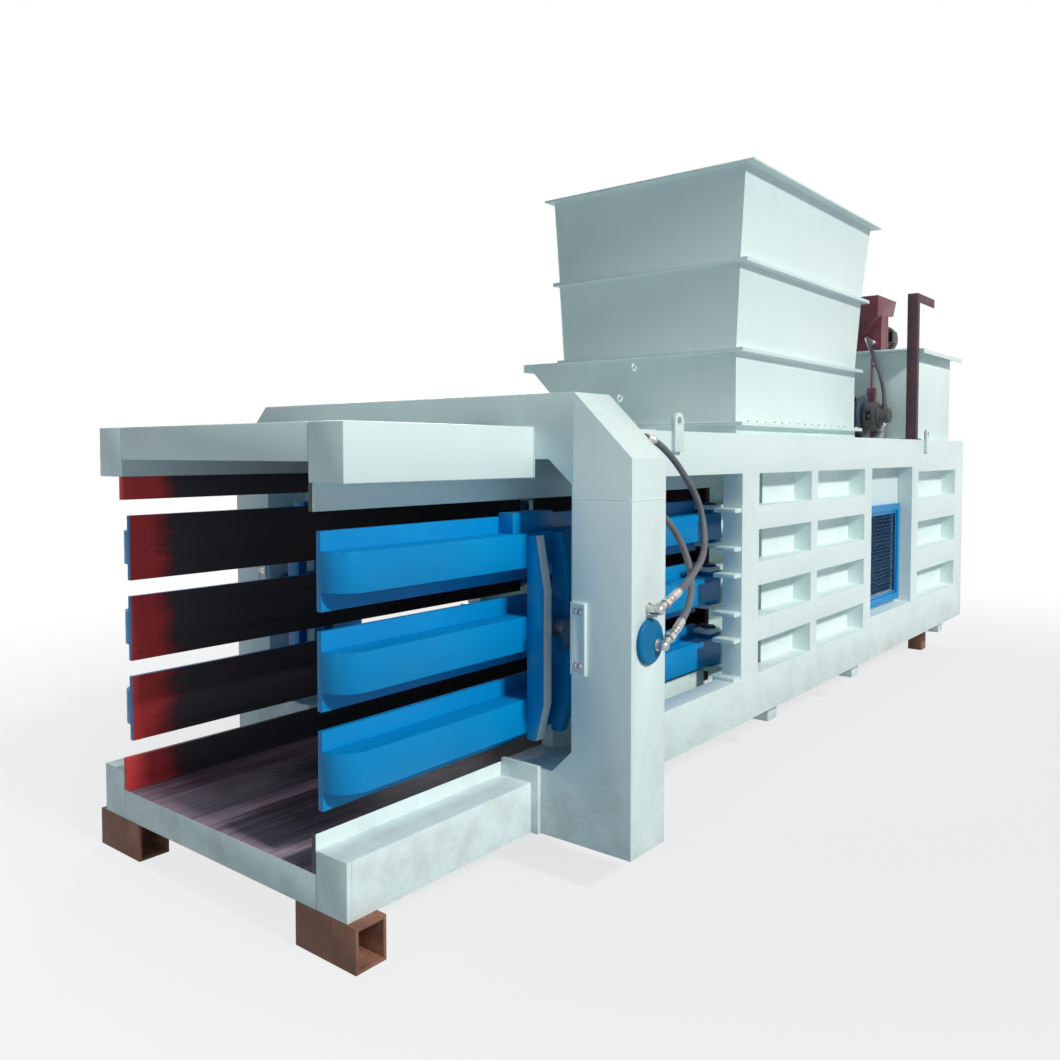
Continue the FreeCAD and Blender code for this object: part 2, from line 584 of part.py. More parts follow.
def door_beam(number):
    """One box beam: round nose in front, round hinge end with a boss above and below."""
    low = f"{beam_mid(number)} - door_beam_height / 2"
    nose = rod("Z", f"{door_front} + door_beam_depth", "-channel_half - door_plate", low,
               "door_beam_depth", "door_beam_height",
               FreeCAD.Rotation(V(0, 0, 1), 180))
    nose.Angle = 90
    straight = box(f"{door_front} + door_beam_depth", "-beam_face", low,
                   f"hinge_x - {door_front} - door_beam_depth", "door_beam_depth",
                   "door_beam_height")
    knuckle = rod("Z", "hinge_x", "-hinge_y", low, "boss_radius", "door_beam_height")
    bosses = faceted("Z", "hinge_x", "-hinge_y", f"{low} - boss_height", "boss_radius - boss_step",
                     "door_beam_height + 2 * boss_height", 16)
    return [nose, straight, knuckle, bosses]


door_parts, hinge_plates, hinge_pins = [], [], []
for number in FINGERS:
    door_parts.append(box(door_front, "-channel_half - door_plate", finger_low(number),
                          f"hinge_x - finger_back - {door_front}", "door_plate", finger_height))
    door_parts += door_beam(number)
    grip = "(door_beam_height / 2 + boss_height + running_gap)"
    bottom = f"{beam_mid(number)} - {grip} - hinge_plate_thick"
    top = f"{beam_mid(number)} + {grip}"
    for level in (bottom, top):
        plate = span("hinge_x - hinge_plate_front", "pocket_x", "-hinge_y - hinge_plate_reach",
                     "-liner_half", level, f"{level} + hinge_plate_thick")
        hole = pin_hole("Z", "hinge_x", "-hinge_y", level, "pin_radius + fit_gap",
                        "hinge_plate_thick")
        hinge_plates.append(cut(plate, hole))
    shank = faceted("Z", "hinge_x", "-hinge_y", f"{bottom} - pin_tail", "pin_radius",
                    f"2 * ({grip} + hinge_plate_thick) + pin_tail", 16)
    head = faceted("Z", "hinge_x", "-hinge_y", f"{top} + hinge_plate_thick", "pin_head_radius",
                   "pin_head", 6)
    hinge_pins.append(fuse(shank, head))
pin_bore = pin_hole("Z", "hinge_x", "-hinge_y", "slot_low", "pin_radius + fit_gap",
                    "slot_high - slot_low")
both_sides("squeeze_door", cut(fuse(*door_parts), pin_bore))
plate_set = group(*hinge_plates)
node("hinge_plates", group(plate_set, mirrored(plate_set)))
pin_set = group(*hinge_pins)
node("door_hinge_pins", group(pin_set, mirrored(pin_set)))

# two bent ribs that tie the three beams, the block between them that the cylinder pushes on,
# and a guide block on the top beam
rib_corners = [
    ("-beam_face", "deck_top + rib_bottom"),
    ("-beam_face - rib_depth_end", "deck_top + rib_bottom"),
    ("-beam_face - rib_depth_mid", "deck_top + rib_bend_low"),
    ("-beam_face - rib_depth_mid", "deck_top + rib_bend_high"),
    ("-beam_face - rib_depth_end", "deck_top + rib_top"),
    ("-beam_face", "deck_top + rib_top"),
]
ribs = [pad("YZ_Plane", rib_corners, "rib_thick", x=start)
        for start in ("cylinder_x - rib_spacing / 2 - rib_thick", "cylinder_x + rib_spacing / 2")]
push_block = box("cylinder_x - rib_spacing / 2", "-beam_face - push_depth",
                 "cylinder_z - push_height / 2", "rib_spacing", "push_depth", "push_height")
guide_block = box("portal_x - guide_from_portal", "-liner_half - guide_depth",
                  f"{beam_mid(2)} + door_beam_height / 2", "guide_length", "guide_depth",
                  "guide_height")
both_sides("pressure_pad", group(fuse(*ribs, push_block), guide_block))

# ---------------------------------------------------------------- side cylinders
to_middle = FreeCAD.Rotation(V(1, 0, 0), -90)
barrel_length = "(column_width + gland_reach)"
barrel = rod("Y", "cylinder_x", "-portal_half", "cylinder_z", "cylinder_radius", barrel_length)
gland_hole = pin_hole("Y", "cylinder_x", f"-portal_half + {barrel_length} - gland_length",
                      "cylinder_z", "rod_radius + fit_gap", "gland_length")
barrel_hole = pin_hole("Y", "cylinder_x", "-portal_half", "cylinder_z", "side_bore",
                       f"{barrel_length} - gland_length")
both_sides("side_cylinder", cut(barrel, gland_hole, barrel_hole))
cap_depth = "(cap_thick + cap_bevel)"
cap_profile = [
    ("0", "0"),
    ("cap_radius - 2 * cap_bevel", "0"),
    ("cap_radius", "cap_bevel"),
    ("cap_radius", cap_depth),
    ("0", cap_depth),
]
both_sides("cylinder_cap", turned(cap_profile, to_middle, "cylinder_x",
                                  f"-portal_half - {cap_depth}", "cylinder_z"))
rod_profile = [
    ("0", "0"),
    ("side_bore - fit_gap", "0"),
    ("side_bore - fit_gap", "piston_length"),
    ("rod_radius", "piston_length"),
    ("rod_radius", "rod_length - rod_bevel"),
    ("rod_radius - 1.2 * rod_bevel", "rod_length"),
    ("0", "rod_length"),
]
both_sides("side_rod", turned(rod_profile, to_middle, "cylinder_x",
                              "-beam_face - push_depth - rod_gap - rod_length", "cylinder_z"))

# keeper plates bolted to the portal's front beside each cylinder
keeper = box("portal_x - keeper_thick", "-opening_half - keeper_inset - keeper_width",
             "cylinder_z - keeper_height / 2", "keeper_thick", "keeper_width", "keeper_height")
keeper_field = box("portal_x - keeper_thick",
                   "-opening_half - keeper_inset - keeper_width + keeper_border",
                   "cylinder_z - keeper_height / 2 + keeper_border", "keeper_sink",
                   "keeper_width - 2 * keeper_border", "keeper_height - 2 * keeper_border")
keeper_near = cut(keeper, keeper_field)
node("keeper_plates", group(keeper_near, mirrored(keeper_near)))

# hose ports: a hexagon riser with an arm that points to the rear and up, with its union nut
PORTS = (("cylinder_x", "cylinder_z + cap_radius + upper_port_lift", "-portal_half",
          value("upper_port_rise")),
         ("cylinder_x + lower_port_shift", "cylinder_z - lower_port_drop",
          f"-portal_half - {cap_depth}", value("lower_port_rise")))
fittings, port_ends = [], []
for port_x, port_z, seat, rise in PORTS:
    turn = FreeCAD.Rotation(V(0, 1, 0), 90 - rise)
    riser = faceted("Y", port_x, "-portal_half - port_reach - port_radius", port_z,
                    "port_radius", f"{seat} + portal_half + port_reach + port_radius", 6)
    arm = faceted("Z", port_x, "-portal_half - port_reach", port_z, "stub_radius", "port_arm",
                  6, turn)
    collar = faceted("Z", f"{port_x} + nut_from_port * cos({rise} deg)",
                     "-portal_half - port_reach", f"{port_z} + nut_from_port * sin({rise} deg)",
                     "nut_radius", "nut_length", 6, turn)
    fittings.append(fuse(riser, arm, collar))
    port_ends.append((value(f"{port_x} + port_arm * cos({rise} deg)"),
                      value("-portal_half - port_reach"),
                      value(f"{port_z} + port_arm * sin({rise} deg)")))
port_set = group(*fittings)
node("port_fittings", group(port_set, mirrored(port_set)))

# manifold on the near cheek, behind the portal, that the two hoses come from
manifold = box("portal_back + manifold_gap", "-cheek_reach - manifold_side",
               "wall_top - manifold_drop", "manifold_side", "manifold_side", "manifold_tall")
upper_stub = faceted("X", "portal_back + manifold_gap + manifold_side",
                     "-cheek_reach - manifold_stub_side", "wall_top - manifold_stub_drop",
                     "stub_radius", "stub_length", 6)
lower_stub = faceted("Z", "portal_back + manifold_gap + manifold_side / 2",
                     "-cheek_reach - manifold_foot_side", "wall_top - manifold_foot_drop",
                     "stub_radius", "stub_length", 6)
node("hose_manifold", fuse(manifold, upper_stub, lower_stub))

# ---------------------------------------------------------------- hopper
# curb round the feed opening, with the flange that the hopper is bolted to
def ring(x0, x1, y_half, z0, z1, wall, front=None):
    """A rectangular ring whose inner faces lie at the given limits."""
    outer = span(f"({x0}) - ({front or wall})", f"({x1}) + ({wall})",
                 f"-({y_half}) - ({wall})", f"({y_half}) + ({wall})", z0, z1)
    inner = span(x0, x1, f"-({y_half})", y_half, z0, z1)
    return cut(outer, inner)


curb_wall = "liner_half - hopper_half"
curb_body = ring("hopper_x", "hopper_back", "hopper_half", "wall_top", "curb_top - joint_thick",
                 curb_wall)
joint_reach, joint_front_reach = "joint_flange + hopper_wall", "joint_front + hopper_wall"
curb_flange = ring("hopper_x", "hopper_back", "hopper_half", "curb_top - joint_thick",
                   "curb_top", joint_reach, joint_front_reach)
skirts = [span("hopper_x", "hopper_back", low, high, "roof_z", "wall_top")
          for low, high in (("-liner_half", "-hopper_half"), ("hopper_half", "liner_half"))]
node("hopper_curb", fuse(curb_body, curb_flange, *skirts))


# lower tier: near wall upright, far wall flared with a ledge
def lower_outline(grow):
    """The lower tier's section across the machine, drawn in by a wall's thickness."""
    return [
        (f"-hopper_half - hopper_wall + {grow}", "curb_top"),
        (f"hopper_half + hopper_wall - {grow}", "curb_top"),
        (f"hopper_half + hopper_wall - {grow}", "curb_top + flare_start"),
        (f"hopper_half + hopper_wall - {grow} + flare_reach", "curb_top + flare_start + flare_reach"),
        (f"hopper_half + hopper_wall - {grow} + flare_reach", "lower_top"),
        (f"-hopper_half - hopper_wall + {grow}", "lower_top"),
    ]


lower_outer = pad("YZ_Plane", lower_outline("0"), "hopper_length + 2 * hopper_wall",
                  x="hopper_x - hopper_wall")
lower_inner = pad("YZ_Plane", lower_outline("hopper_wall"), "hopper_length", x="hopper_x")
lower_flange = ring("hopper_x", "hopper_back", "hopper_half", "curb_top", "curb_top + joint_thick",
                    joint_reach, joint_front_reach)
lower_collar = ring("hopper_x", "hopper_back", "hopper_half", "lower_top - joint_thick",
                    "lower_top", joint_reach, joint_front_reach)
ledge_plate = span("hopper_x - hopper_wall", "hopper_back + hopper_wall", "hopper_half",
                   "hopper_half + hopper_wall + flare_reach", "lower_top - joint_thick",
                   "lower_top")
ledge_angle = span("hopper_x - hopper_wall", "hopper_back + hopper_wall",
                   "hopper_half + hopper_wall + flare_reach",
                   "hopper_half + hopper_wall + flare_reach + ledge_flange",
                   "lower_top - joint_thick", "lower_top")
ledge_lip = span("hopper_x - hopper_wall", "hopper_back + hopper_wall",
                 "hopper_half + flare_reach + ledge_flange",
                 "hopper_half + hopper_wall + flare_reach + ledge_flange",
                 "lower_top - ledge_lip", "lower_top - joint_thick")
node("hopper_lower", fuse(cut(lower_outer, lower_inner), lower_flange, lower_collar,
                          ledge_plate, ledge_angle, ledge_lip))


def rectangle(x0, x1, half_width):
    """Corners of a level rectangle about the machine's middle plane."""
    return [(x0, f"-({half_width})"), (x1, f"-({half_width})"), (x1, half_width),
            (x0, half_width)]


def flared_tier(low, high, front, back, half, rise_front, rise_back, rise_side):
    """A four-sided shell that opens upward, without flanges."""
    wall = "hopper_wall"
    outer = loft([
        (low, rectangle(f"{front} - {wall}", f"{back} + {wall}", f"{half} + {wall}")),
        (high, rectangle(f"{front} - {rise_front} - {wall}", f"{back} + {rise_back} + {wall}",
                         f"{half} + {rise_side} + {wall}"))])
    inner = loft([
        (low, rectangle(front, back, half)),
        (high, rectangle(f"{front} - {rise_front}", f"{back} + {rise_back}",
                         f"{half} + {rise_side}"))])
    return cut(outer, inner)


middle_shell = flared_tier("lower_top", "middle_top", "hopper_x", "hopper_back", "hopper_half",
                           "middle_front_flare", "middle_rear_flare", "middle_flare")
middle_low = ring("hopper_x", "hopper_back", "hopper_half + hopper_wall / 2", "lower_top",
                  "lower_top + joint_thick", "joint_flange + hopper_wall / 2",
                  joint_front_reach)
tier_front, tier_back = "hopper_x - middle_front_flare", "hopper_back + middle_rear_flare"
tier_half = "hopper_half + middle_flare"
middle_high = ring(tier_front, tier_back, tier_half, "middle_top - joint_thick", "middle_top",
                   joint_reach, joint_front_reach)
node("hopper_middle", fuse(middle_shell, middle_low, middle_high))

upper_shell = flared_tier("middle_top", "upper_top", tier_front, tier_back, tier_half,
                          "upper_front_flare", "upper_rear_flare", "upper_flare")
upper_low = ring(tier_front, tier_back, f"{tier_half} + hopper_wall / 2", "middle_top",
                 "middle_top + joint_thick", "joint_flange + hopper_wall / 2",
                 joint_front_reach)
mouth_front, mouth_back = f"{tier_front} - upper_front_flare", f"{tier_back} + upper_rear_flare"
mouth_half = f"{tier_half} + upper_flare"
mouth_plate = ring(mouth_front, mouth_back, mouth_half, "upper_top - mouth_thick", "upper_top",
                   "mouth_flange", "mouth_front")
node("hopper_upper", fuse(upper_shell, upper_low, mouth_plate))

# ---------------------------------------------------------------- hex bolts
def hex_bolt(turn, x, y, z, across, depth):
    """A hexagon head standing on a face."""
    return faceted(None, x, y, z, f"{across} / sqrt(3)", depth, 6, turn)


UPWARD, FORWARD = FreeCAD.Rotation(), FreeCAD.Rotation(V(0, 1, 0), -90)
bolts = []
BOLT_COUNT = 8
for number in range(BOLT_COUNT):
    along = f"hopper_x + hopper_length * {(number + 0.5) / BOLT_COUNT}"
    for side in (-1, 1):
        reach = "(hopper_half + hopper_wall + joint_flange / 2)"
        bolts.append(hex_bolt(UPWARD, along, f"{side} * {reach}", "curb_top + joint_thick",
                              "flange_bolt", "flange_bolt_head"))
for side in (-1, 1):
    for row in (-1, 1):
        for column in (-1, 1):
            keeper_mid = "(opening_half + keeper_inset + keeper_width / 2)"
            bolts.append(hex_bolt(FORWARD, "portal_x - keeper_thick + keeper_sink",
                                  f"{side} * {keeper_mid} + {column} * keeper_bolt_offset",
                                  f"cylinder_z + {row} * keeper_bolt_rise",
                                  "keeper_bolt", "keeper_bolt_head"))
node("frame_bolts", group(*bolts))

# ---------------------------------------------------------------- lifting lugs
def lug(x):
    """A plate with a rounded head and a shackle hole, welded to the wall's outer face."""
    upright = span(f"{x} - lug_radius", f"{x} + lug_radius", "-wall_half - lug_thick",
                   "-wall_half", "wall_top - lug_foot", "wall_top + lug_rise")
    head = faceted("Y", x, "-wall_half - lug_thick", "wall_top + lug_rise", "lug_radius",
                   "lug_thick", 16)
    eye = faceted("Y", x, "-wall_half - lug_thick", "wall_top + lug_rise", "lug_eye_radius",
                  "lug_thick", 16)
    return cut(fuse(upright, head), eye)


lug_set = group(lug("(portal_back + front_lug)"), lug("(bay_rear_x + rear_lug)"))
node("lifting_lugs", group(lug_set, mirrored(lug_set)))

# ---------------------------------------------------------------- mesh door in the near wall
door_x = "(bay_door_x + mesh_door_inset)"
door_z = "(deck_top + door_bay_sill + mesh_door_lift)"
door_y = "(-skin_half - running_gap - mesh_door_thick)"
frame_outer = box(door_x, door_y, door_z, "mesh_door_width", "mesh_door_thick",
                  "mesh_door_height")
frame_inner = box(f"{door_x} + mesh_door_frame", door_y, f"{door_z} + mesh_door_frame",
                  "mesh_door_width - 2 * mesh_door_frame", "mesh_door_thick",
                  "mesh_door_height - 2 * mesh_door_frame")
HATCH_HINGES = ("hatch_hinge_low", "hatch_hinge_high")
hinge_line = (f"{door_x} - hatch_pin_offset", f"{door_y} + hatch_pin_offset")
barrels = [rod("Z", *hinge_line, f"{door_z} + {lift}", "hatch_barrel_radius",
               "hatch_barrel_length") for lift in HATCH_HINGES]
pin_holes = [pin_hole("Z", *hinge_line, f"{door_z} + {lift}", "hatch_pin_radius + fit_gap",
                      "hatch_barrel_length") for lift in HATCH_HINGES]
node("mesh_door", cut(fuse(cut(frame_outer, frame_inner), *barrels), *pin_holes))

hinges = []
for lift in HATCH_HINGES:
    low = f"({door_z} + {lift})"
    pin = faceted("Z", *hinge_line, f"{low} - hatch_ear - hatch_pin_over", "hatch_pin_radius",
                  "hatch_barrel_length + 2 * (hatch_ear + hatch_pin_over)", 12)
    ears = [span("bay_door_x", f"{door_x} - 2 * hatch_ear_gap", f"{door_y} + hatch_ear_gap",
                 f"{door_y} + hatch_ear_gap + hatch_ear_depth", start, f"{start} + hatch_ear")
            for start in (f"{low} - hatch_ear - hatch_ear_gap",
                          f"{low} + hatch_barrel_length + hatch_ear_gap")]
    hinges.append(fuse(pin, *ears))
node("mesh_door_hinges", group(*hinges))

mesh_width = value("mesh_door_width - 2 * mesh_door_frame")
mesh_height = value("mesh_door_height - 2 * mesh_door_frame")
bars = []
for number in range(1, int(mesh_width // value("mesh_pitch")) + 1):
    bars.append(box(f"{door_x} + mesh_door_frame + {number} * mesh_pitch - mesh_bar",
                    f"{door_y} + mesh_depth", f"{door_z} + mesh_door_frame", "mesh_bar", "mesh_bar",
                    "mesh_door_height - 2 * mesh_door_frame"))
for number in range(1, int(mesh_height // value("mesh_pitch")) + 1):
    bars.append(box(f"{door_x} + mesh_door_frame", f"{door_y} + mesh_depth",
                    f"{door_z} + mesh_door_frame + {number} * mesh_pitch - mesh_bar",
                    "mesh_door_width - 2 * mesh_door_frame", "mesh_bar", "mesh_bar"))
node("mesh_panel", fuse(*bars))

# ---------------------------------------------------------------- ram
face = span("ram_x", "ram_x + ram_face_thick", "-ram_half", "ram_half", "ram_low", "ram_high")
grooves = [box("ram_x", "-ram_half", f"slot_low + {row} * slot_pitch", "ram_face_thick / 2",
               "2 * ram_half", "slot_height") for row in range(4)]
node("ram_face", cut(face, *grooves))
shell = span("ram_x + ram_face_thick", "ram_x + ram_length", "-ram_half", "ram_half",
             "ram_low", "ram_high - apron_thick")
hollow = span("ram_x + ram_face_thick + ram_plate", "ram_x + ram_length",
              "-ram_half + ram_plate", "ram_half - ram_plate", "ram_low + ram_plate",
              "ram_high - apron_thick - ram_plate")
node("ram_body", cut(shell, hollow))
node("ram_apron", span("ram_x + ram_face_thick", "ram_x + ram_length + apron_length",
                       "-ram_half", "ram_half", "ram_high - apron_thick", "ram_high"))
rod_front = "ram_x + ram_face_thick + ram_plate"
main_shaft = rod("X", rod_front, "0", "ram_mid_z", "main_rod_radius",
                 f"barrel_end - rod_end_gap - ({rod_front})")
main_collar = faceted("X", rod_front, "0", "ram_mid_z", "main_rod_radius + rod_collar_reach",
                      "rod_collar", 16)
main_piston = rod("X", "barrel_end - main_piston_gap", "0", "ram_mid_z", "main_bore - fit_gap",
                  "main_piston")
node("main_rod", fuse(main_shaft, main_collar, main_piston))

# main cylinder: barrel with gland, mounting flange and closed tail, open bore
barrel_reach = "(barrel_end - barrel_x)"
flange_at = "(frame_end - barrel_x)"
main_profile = [
    ("0", "0"),
    ("0", barrel_reach),
    ("main_radius", barrel_reach),
    ("main_radius", f"{flange_at} + main_flange_thick"),
    ("main_flange_radius", f"{flange_at} + main_flange_thick"),
    ("main_flange_radius", flange_at),
    ("main_radius", flange_at),
    ("main_radius", "0"),
]
main_outside = turned(main_profile, AXES["X"], "barrel_x", "0", "ram_mid_z")
main_gland = pin_hole("X", "barrel_x", "0", "ram_mid_z", "main_rod_radius + fit_gap",
                      "main_gland_length")
main_hollow = pin_hole("X", "barrel_x + main_gland_length", "0", "ram_mid_z", "main_bore",
                       f"{barrel_reach} - main_gland_length - main_tail_wall")
node("main_cylinder", cut(main_outside, main_gland, main_hollow))

# ---------------------------------------------------------------- oil tank
tank_far = "(-tank_near + tank_width)"
tank_block = span("tank_x", "tank_x + tank_length", "-tank_near", tank_far, "wall_top",
                  "tank_top")
tank_hollow = span("tank_x + tank_wall", "tank_x + tank_length - tank_wall",
                   "-tank_near + tank_wall", f"{tank_far} - tank_wall", "wall_top + tank_wall",
                   "tank_top")
node("oil_tank", cut(tank_block, tank_hollow))
lid_plate = span("tank_x - tank_lip", "tank_x + tank_length + lid_near_lip",
                 "-tank_near - lid_near_lip", f"{tank_far} + tank_lip", "tank_top",
                 "tank_top + lid_thick / 2")
lid_top = span("tank_x", "tank_x + tank_length", "-tank_near", tank_far,
               "tank_top + lid_thick / 2", "tank_top + lid_thick")
lid_edge = span("tank_x - tank_lip", "tank_x + tank_length + lid_near_lip",
                "-tank_near - lid_near_lip", "-tank_near - lid_near_lip + tank_wall",
                "tank_top - lid_thick", "tank_top")
node("tank_lid", fuse(lid_plate, lid_top, lid_edge))

# post with a short arm in front of the tank, an angle section
post_x = "(tank_x - post_from_tank)"
post_y = "(-tank_near - post_near_gap)"
post_web = box(post_x, post_y, "wall_top", "post_wall", "post_width", "post_height")
post_leg = box(post_x, post_y, "wall_top", "post_depth", "post_wall", "post_height")
arm_web = box(post_x, post_y, "wall_top + post_height - post_arm_height", "post_arm",
              "post_wall", "post_arm_height")
arm_leg = box(post_x, post_y, "wall_top + post_height - post_wall", "post_arm", "post_width",
              "post_wall")
post_foot = box(f"{post_x} - post_foot_front", f"{post_y} - post_foot_side", "wall_top",
                "post_foot", "post_foot", "post_foot_thick")
node("gallows_post", fuse(post_web, post_leg, arm_web, arm_leg, post_foot))

# ---------------------------------------------------------------- drive motor and pump
motor_far = "(motor_length - motor_near)"
# cooling fins all round, left out over an angle to each side of the feet
FIN_COUNT, FEET_ANGLE = 20, 35
barrel = faceted("Y", "motor_x", "-motor_near", "motor_z", "motor_radius", "motor_length",
                 FIN_COUNT)
fins = []
for number in range(FIN_COUNT):
    angle = 360 / FIN_COUNT * number
    if abs(angle - 270) < FEET_ANGLE:
        continue
    fin = doc.addObject("Part::Box", "fin")
    fin.setExpression("Length", bound("motor_radius + motor_fin"))
    fin.setExpression("Height", bound("motor_length - fin_start - cowl_length"))
    fin.setExpression("Width", bound("fin_thick"))
    spin = FreeCAD.Rotation(V(0, 1, 0), -angle)
    offset = spin.multVec(V(0, 0, -value("fin_thick") / 2))
    fin.Placement = FreeCAD.Placement(V(), spin.multiply(AXES["Y"]))
    fins.append(place(fin, f"motor_x + {offset.x:.4f}", "-motor_near + fin_start",
                      f"motor_z + {offset.z:.4f}"))
cowl = rod("Y", "motor_x", f"{motor_far} - cowl_length", "motor_z", "motor_radius + motor_fin",
           "cowl_length")
terminal_y = "(-motor_near + terminal_from_shaft)"
terminal = span("motor_x - terminal_half", "motor_x + terminal_half", terminal_y,
                f"{terminal_y} + terminal_length", "motor_z + motor_radius - terminal_sink",
                "motor_z + motor_radius + terminal_rise")
feet_block = span("motor_x - motor_radius", "motor_x + motor_radius", "-motor_near + rail_start",
                  f"{motor_far} - rail_start - pedestal_lap", "wall_top", "wall_top + rail_thick")
pedestals = [span("motor_x - motor_radius + pedestal_inset",
                  "motor_x + motor_radius - pedestal_inset", start, f"{start} + pedestal_length",
                  "wall_top + rail_thick", "motor_z - motor_radius + pedestal_lap")
             for start in ("-motor_near + pedestal_start", f"{motor_far} - 2 * pedestal_start")]
shaft_well = rod("Y", "motor_x", "-motor_near", "motor_z", "shaft_radius + fit_gap",
                 "shaft_well_depth")
node("drive_motor", cut(fuse(barrel, *fins, cowl, terminal, feet_block, *pedestals),
                        shaft_well))

bell_y = "(-motor_near - bell_length)"
bell = rod("Y", "motor_x", bell_y, "motor_z", "bell_radius", "bell_length")
bell_hollow = faceted("Y", "motor_x", f"{bell_y} + bell_wall", "motor_z",
                      "bell_radius - bell_wall", "bell_length - bell_wall", 16)
bell_port = faceted("Y", "motor_x", bell_y, "motor_z", "shaft_radius + bell_port_reach",
                    "bell_wall", 12)
bell_window = span("motor_x - bell_radius", "motor_x + bell_radius", f"{bell_y} + window_margin",
                   "-motor_near - window_seat", "motor_z - window_half", "motor_z + window_half")
node("bell_housing", cut(bell, bell_hollow, bell_port, bell_window))
coupling_shaft = rod("Y", "motor_x", f"{bell_y} - shaft_reach", "motor_z", "shaft_radius",
                     "shaft_reach + bell_length + shaft_depth")
hub_pitch = "(hub_length + spider_length)"
hubs = [faceted("Y", "motor_x", f"{bell_y} + hub_start + {number} * {hub_pitch}", "motor_z",
                "hub_radius", "hub_length", 12) for number in range(2)]
spider = faceted("Y", "motor_x", f"{bell_y} + hub_start + hub_length", "motor_z",
                 "spider_radius", "spider_length", 12)
node("drive_coupling", fuse(coupling_shaft, *hubs, spider))
pump_y = f"({bell_y} - pump_length)"
pump_body = faceted("Y", "motor_x", pump_y, "motor_z", "pump_radius", "pump_length", 16)
pump_flange = faceted("Y", "motor_x", f"{bell_y} - pump_flange_thick", "motor_z",
                      "pump_radius + pump_flange_reach", "pump_flange_thick", 8)
pump_port = faceted("Z", "motor_x", f"{pump_y} + pump_port", "motor_z", "pump_port_radius",
                    "pump_radius + pump_port_reach", 6)
pump_well = rod("Y", "motor_x", f"{bell_y} - pump_well", "motor_z", "shaft_radius + fit_gap",
                "pump_well")
node("pump", cut(fuse(pump_body, pump_flange, pump_port), pump_well))

# valve block with its solenoids and the stub that the cooler's hose comes down to
block_x, block_y = "(motor_x + valve_from_motor)", "(-motor_near - valve_side)"
block_top = "(wall_top + valve_height)"
block = box(block_x, block_y, "wall_top", "valve_side", "valve_side", "valve_height")
coils = [faceted("Z", f"{block_x} + first_coil + {number} * coil_pitch", f"{block_y} + coil_side",
                 block_top, "coil_radius", "coil_length", 12) for number in range(2)]
block_stub = faceted("Z", f"{block_x} + valve_stub_front", f"{block_y} + valve_stub_side",
                     block_top, "stub_radius", "2 * stub_length", 6)
node("valve_block", fuse(block, *coils, block_stub))

# return line in front of the tank, with its filter
line_x, line_y = "(tank_x - line_from_tank)", "(-motor_near + line_inset)"
filter_bowl = faceted("Z", line_x, line_y, "wall_top + bowl_lift", "bowl_radius",
                      "bowl_length", 12)
filter_head = faceted("Z", line_x, line_y, "wall_top + bowl_lift + bowl_length", "head_radius",
                      "head_length", 12)
riser_pipe = faceted("Z", line_x, line_y, "wall_top", "line_radius", "tank_height - lid_thick", 8)
pipe_clip = span(line_x, "tank_x", f"{line_y} - clip_half", f"{line_y} + clip_half",
                 "wall_top + clip_lift", "wall_top + clip_lift + 2 * clip_half")
node("return_line", fuse(filter_bowl, filter_head, riser_pipe, pipe_clip))

# ---------------------------------------------------------------- oil cooler on the tank
# a core on the tank's lid, with a leaning hood, a tapered duct in front and a fan shroud behind
cooler_far = "(-cooler_near + cooler_width)"
hood_profile = [
    ("cooler_x + hood_lean", "cooler_z + cooler_height"),
    ("cooler_x", "cooler_z + cooler_height - hood_depth"),
    ("cooler_x + duct_depth", "cooler_z + core_height - hood_lip"),
    ("cooler_x + hood_length - hood_tail", "cooler_z + core_height + hood_lean"),
    ("cooler_x + hood_length + hood_lean", "cooler_z + cooler_height"),
]
hood = pad("XZ_Plane", hood_profile, "cooler_width", y=cooler_far)
duct_profile = [
    ("-cooler_near", "cooler_z + cooler_height - hood_depth"),
    ("-cooler_near", "cooler_z + core_height - duct_drop"),
    ("-cooler_near + cooler_width * duct_share", "cooler_z + core_height / 2"),
    ("-cooler_near + cooler_width * (1 - duct_share)", "cooler_z + core_height / 2"),
    ("-cooler_near + cooler_width", "cooler_z + core_height - duct_drop"),
    ("-cooler_near + cooler_width", "cooler_z + cooler_height - hood_depth"),
]
duct = pad("YZ_Plane", duct_profile, "duct_depth", x="cooler_x")
core = box("cooler_x + duct_depth", "-cooler_near", "cooler_z", "core_length", "cooler_width",
           "core_height")
fan_x = "(cooler_x + duct_depth + core_length)"
fan_y = "(-cooler_near + cooler_width / 2)"
fan_z = "(cooler_z + fan_height)"
shroud = rod("X", fan_x, fan_y, fan_z, "shroud_radius", "shroud_length")
shroud_bore = rod("X", f"{fan_x} - fan_clearance", fan_y, fan_z, "fan_radius + fan_clearance",
                  "shroud_length + fan_clearance")
core_stub = faceted("X", "cooler_x + duct_depth - core_stub_reach",
                    "-cooler_near + core_stub_side", "cooler_z + core_stub_lift",
                    "stub_radius", "core_stub_reach", 6)
node("oil_cooler", cut(fuse(hood, duct, core, shroud, core_stub), shroud_bore))
hub = faceted("X", f"{fan_x} + fan_gap", fan_y, fan_z, "fan_hub_radius", "fan_hub_length", 12)
blades = []
BLADE_COUNT, BLADE_PITCH = 6, 50
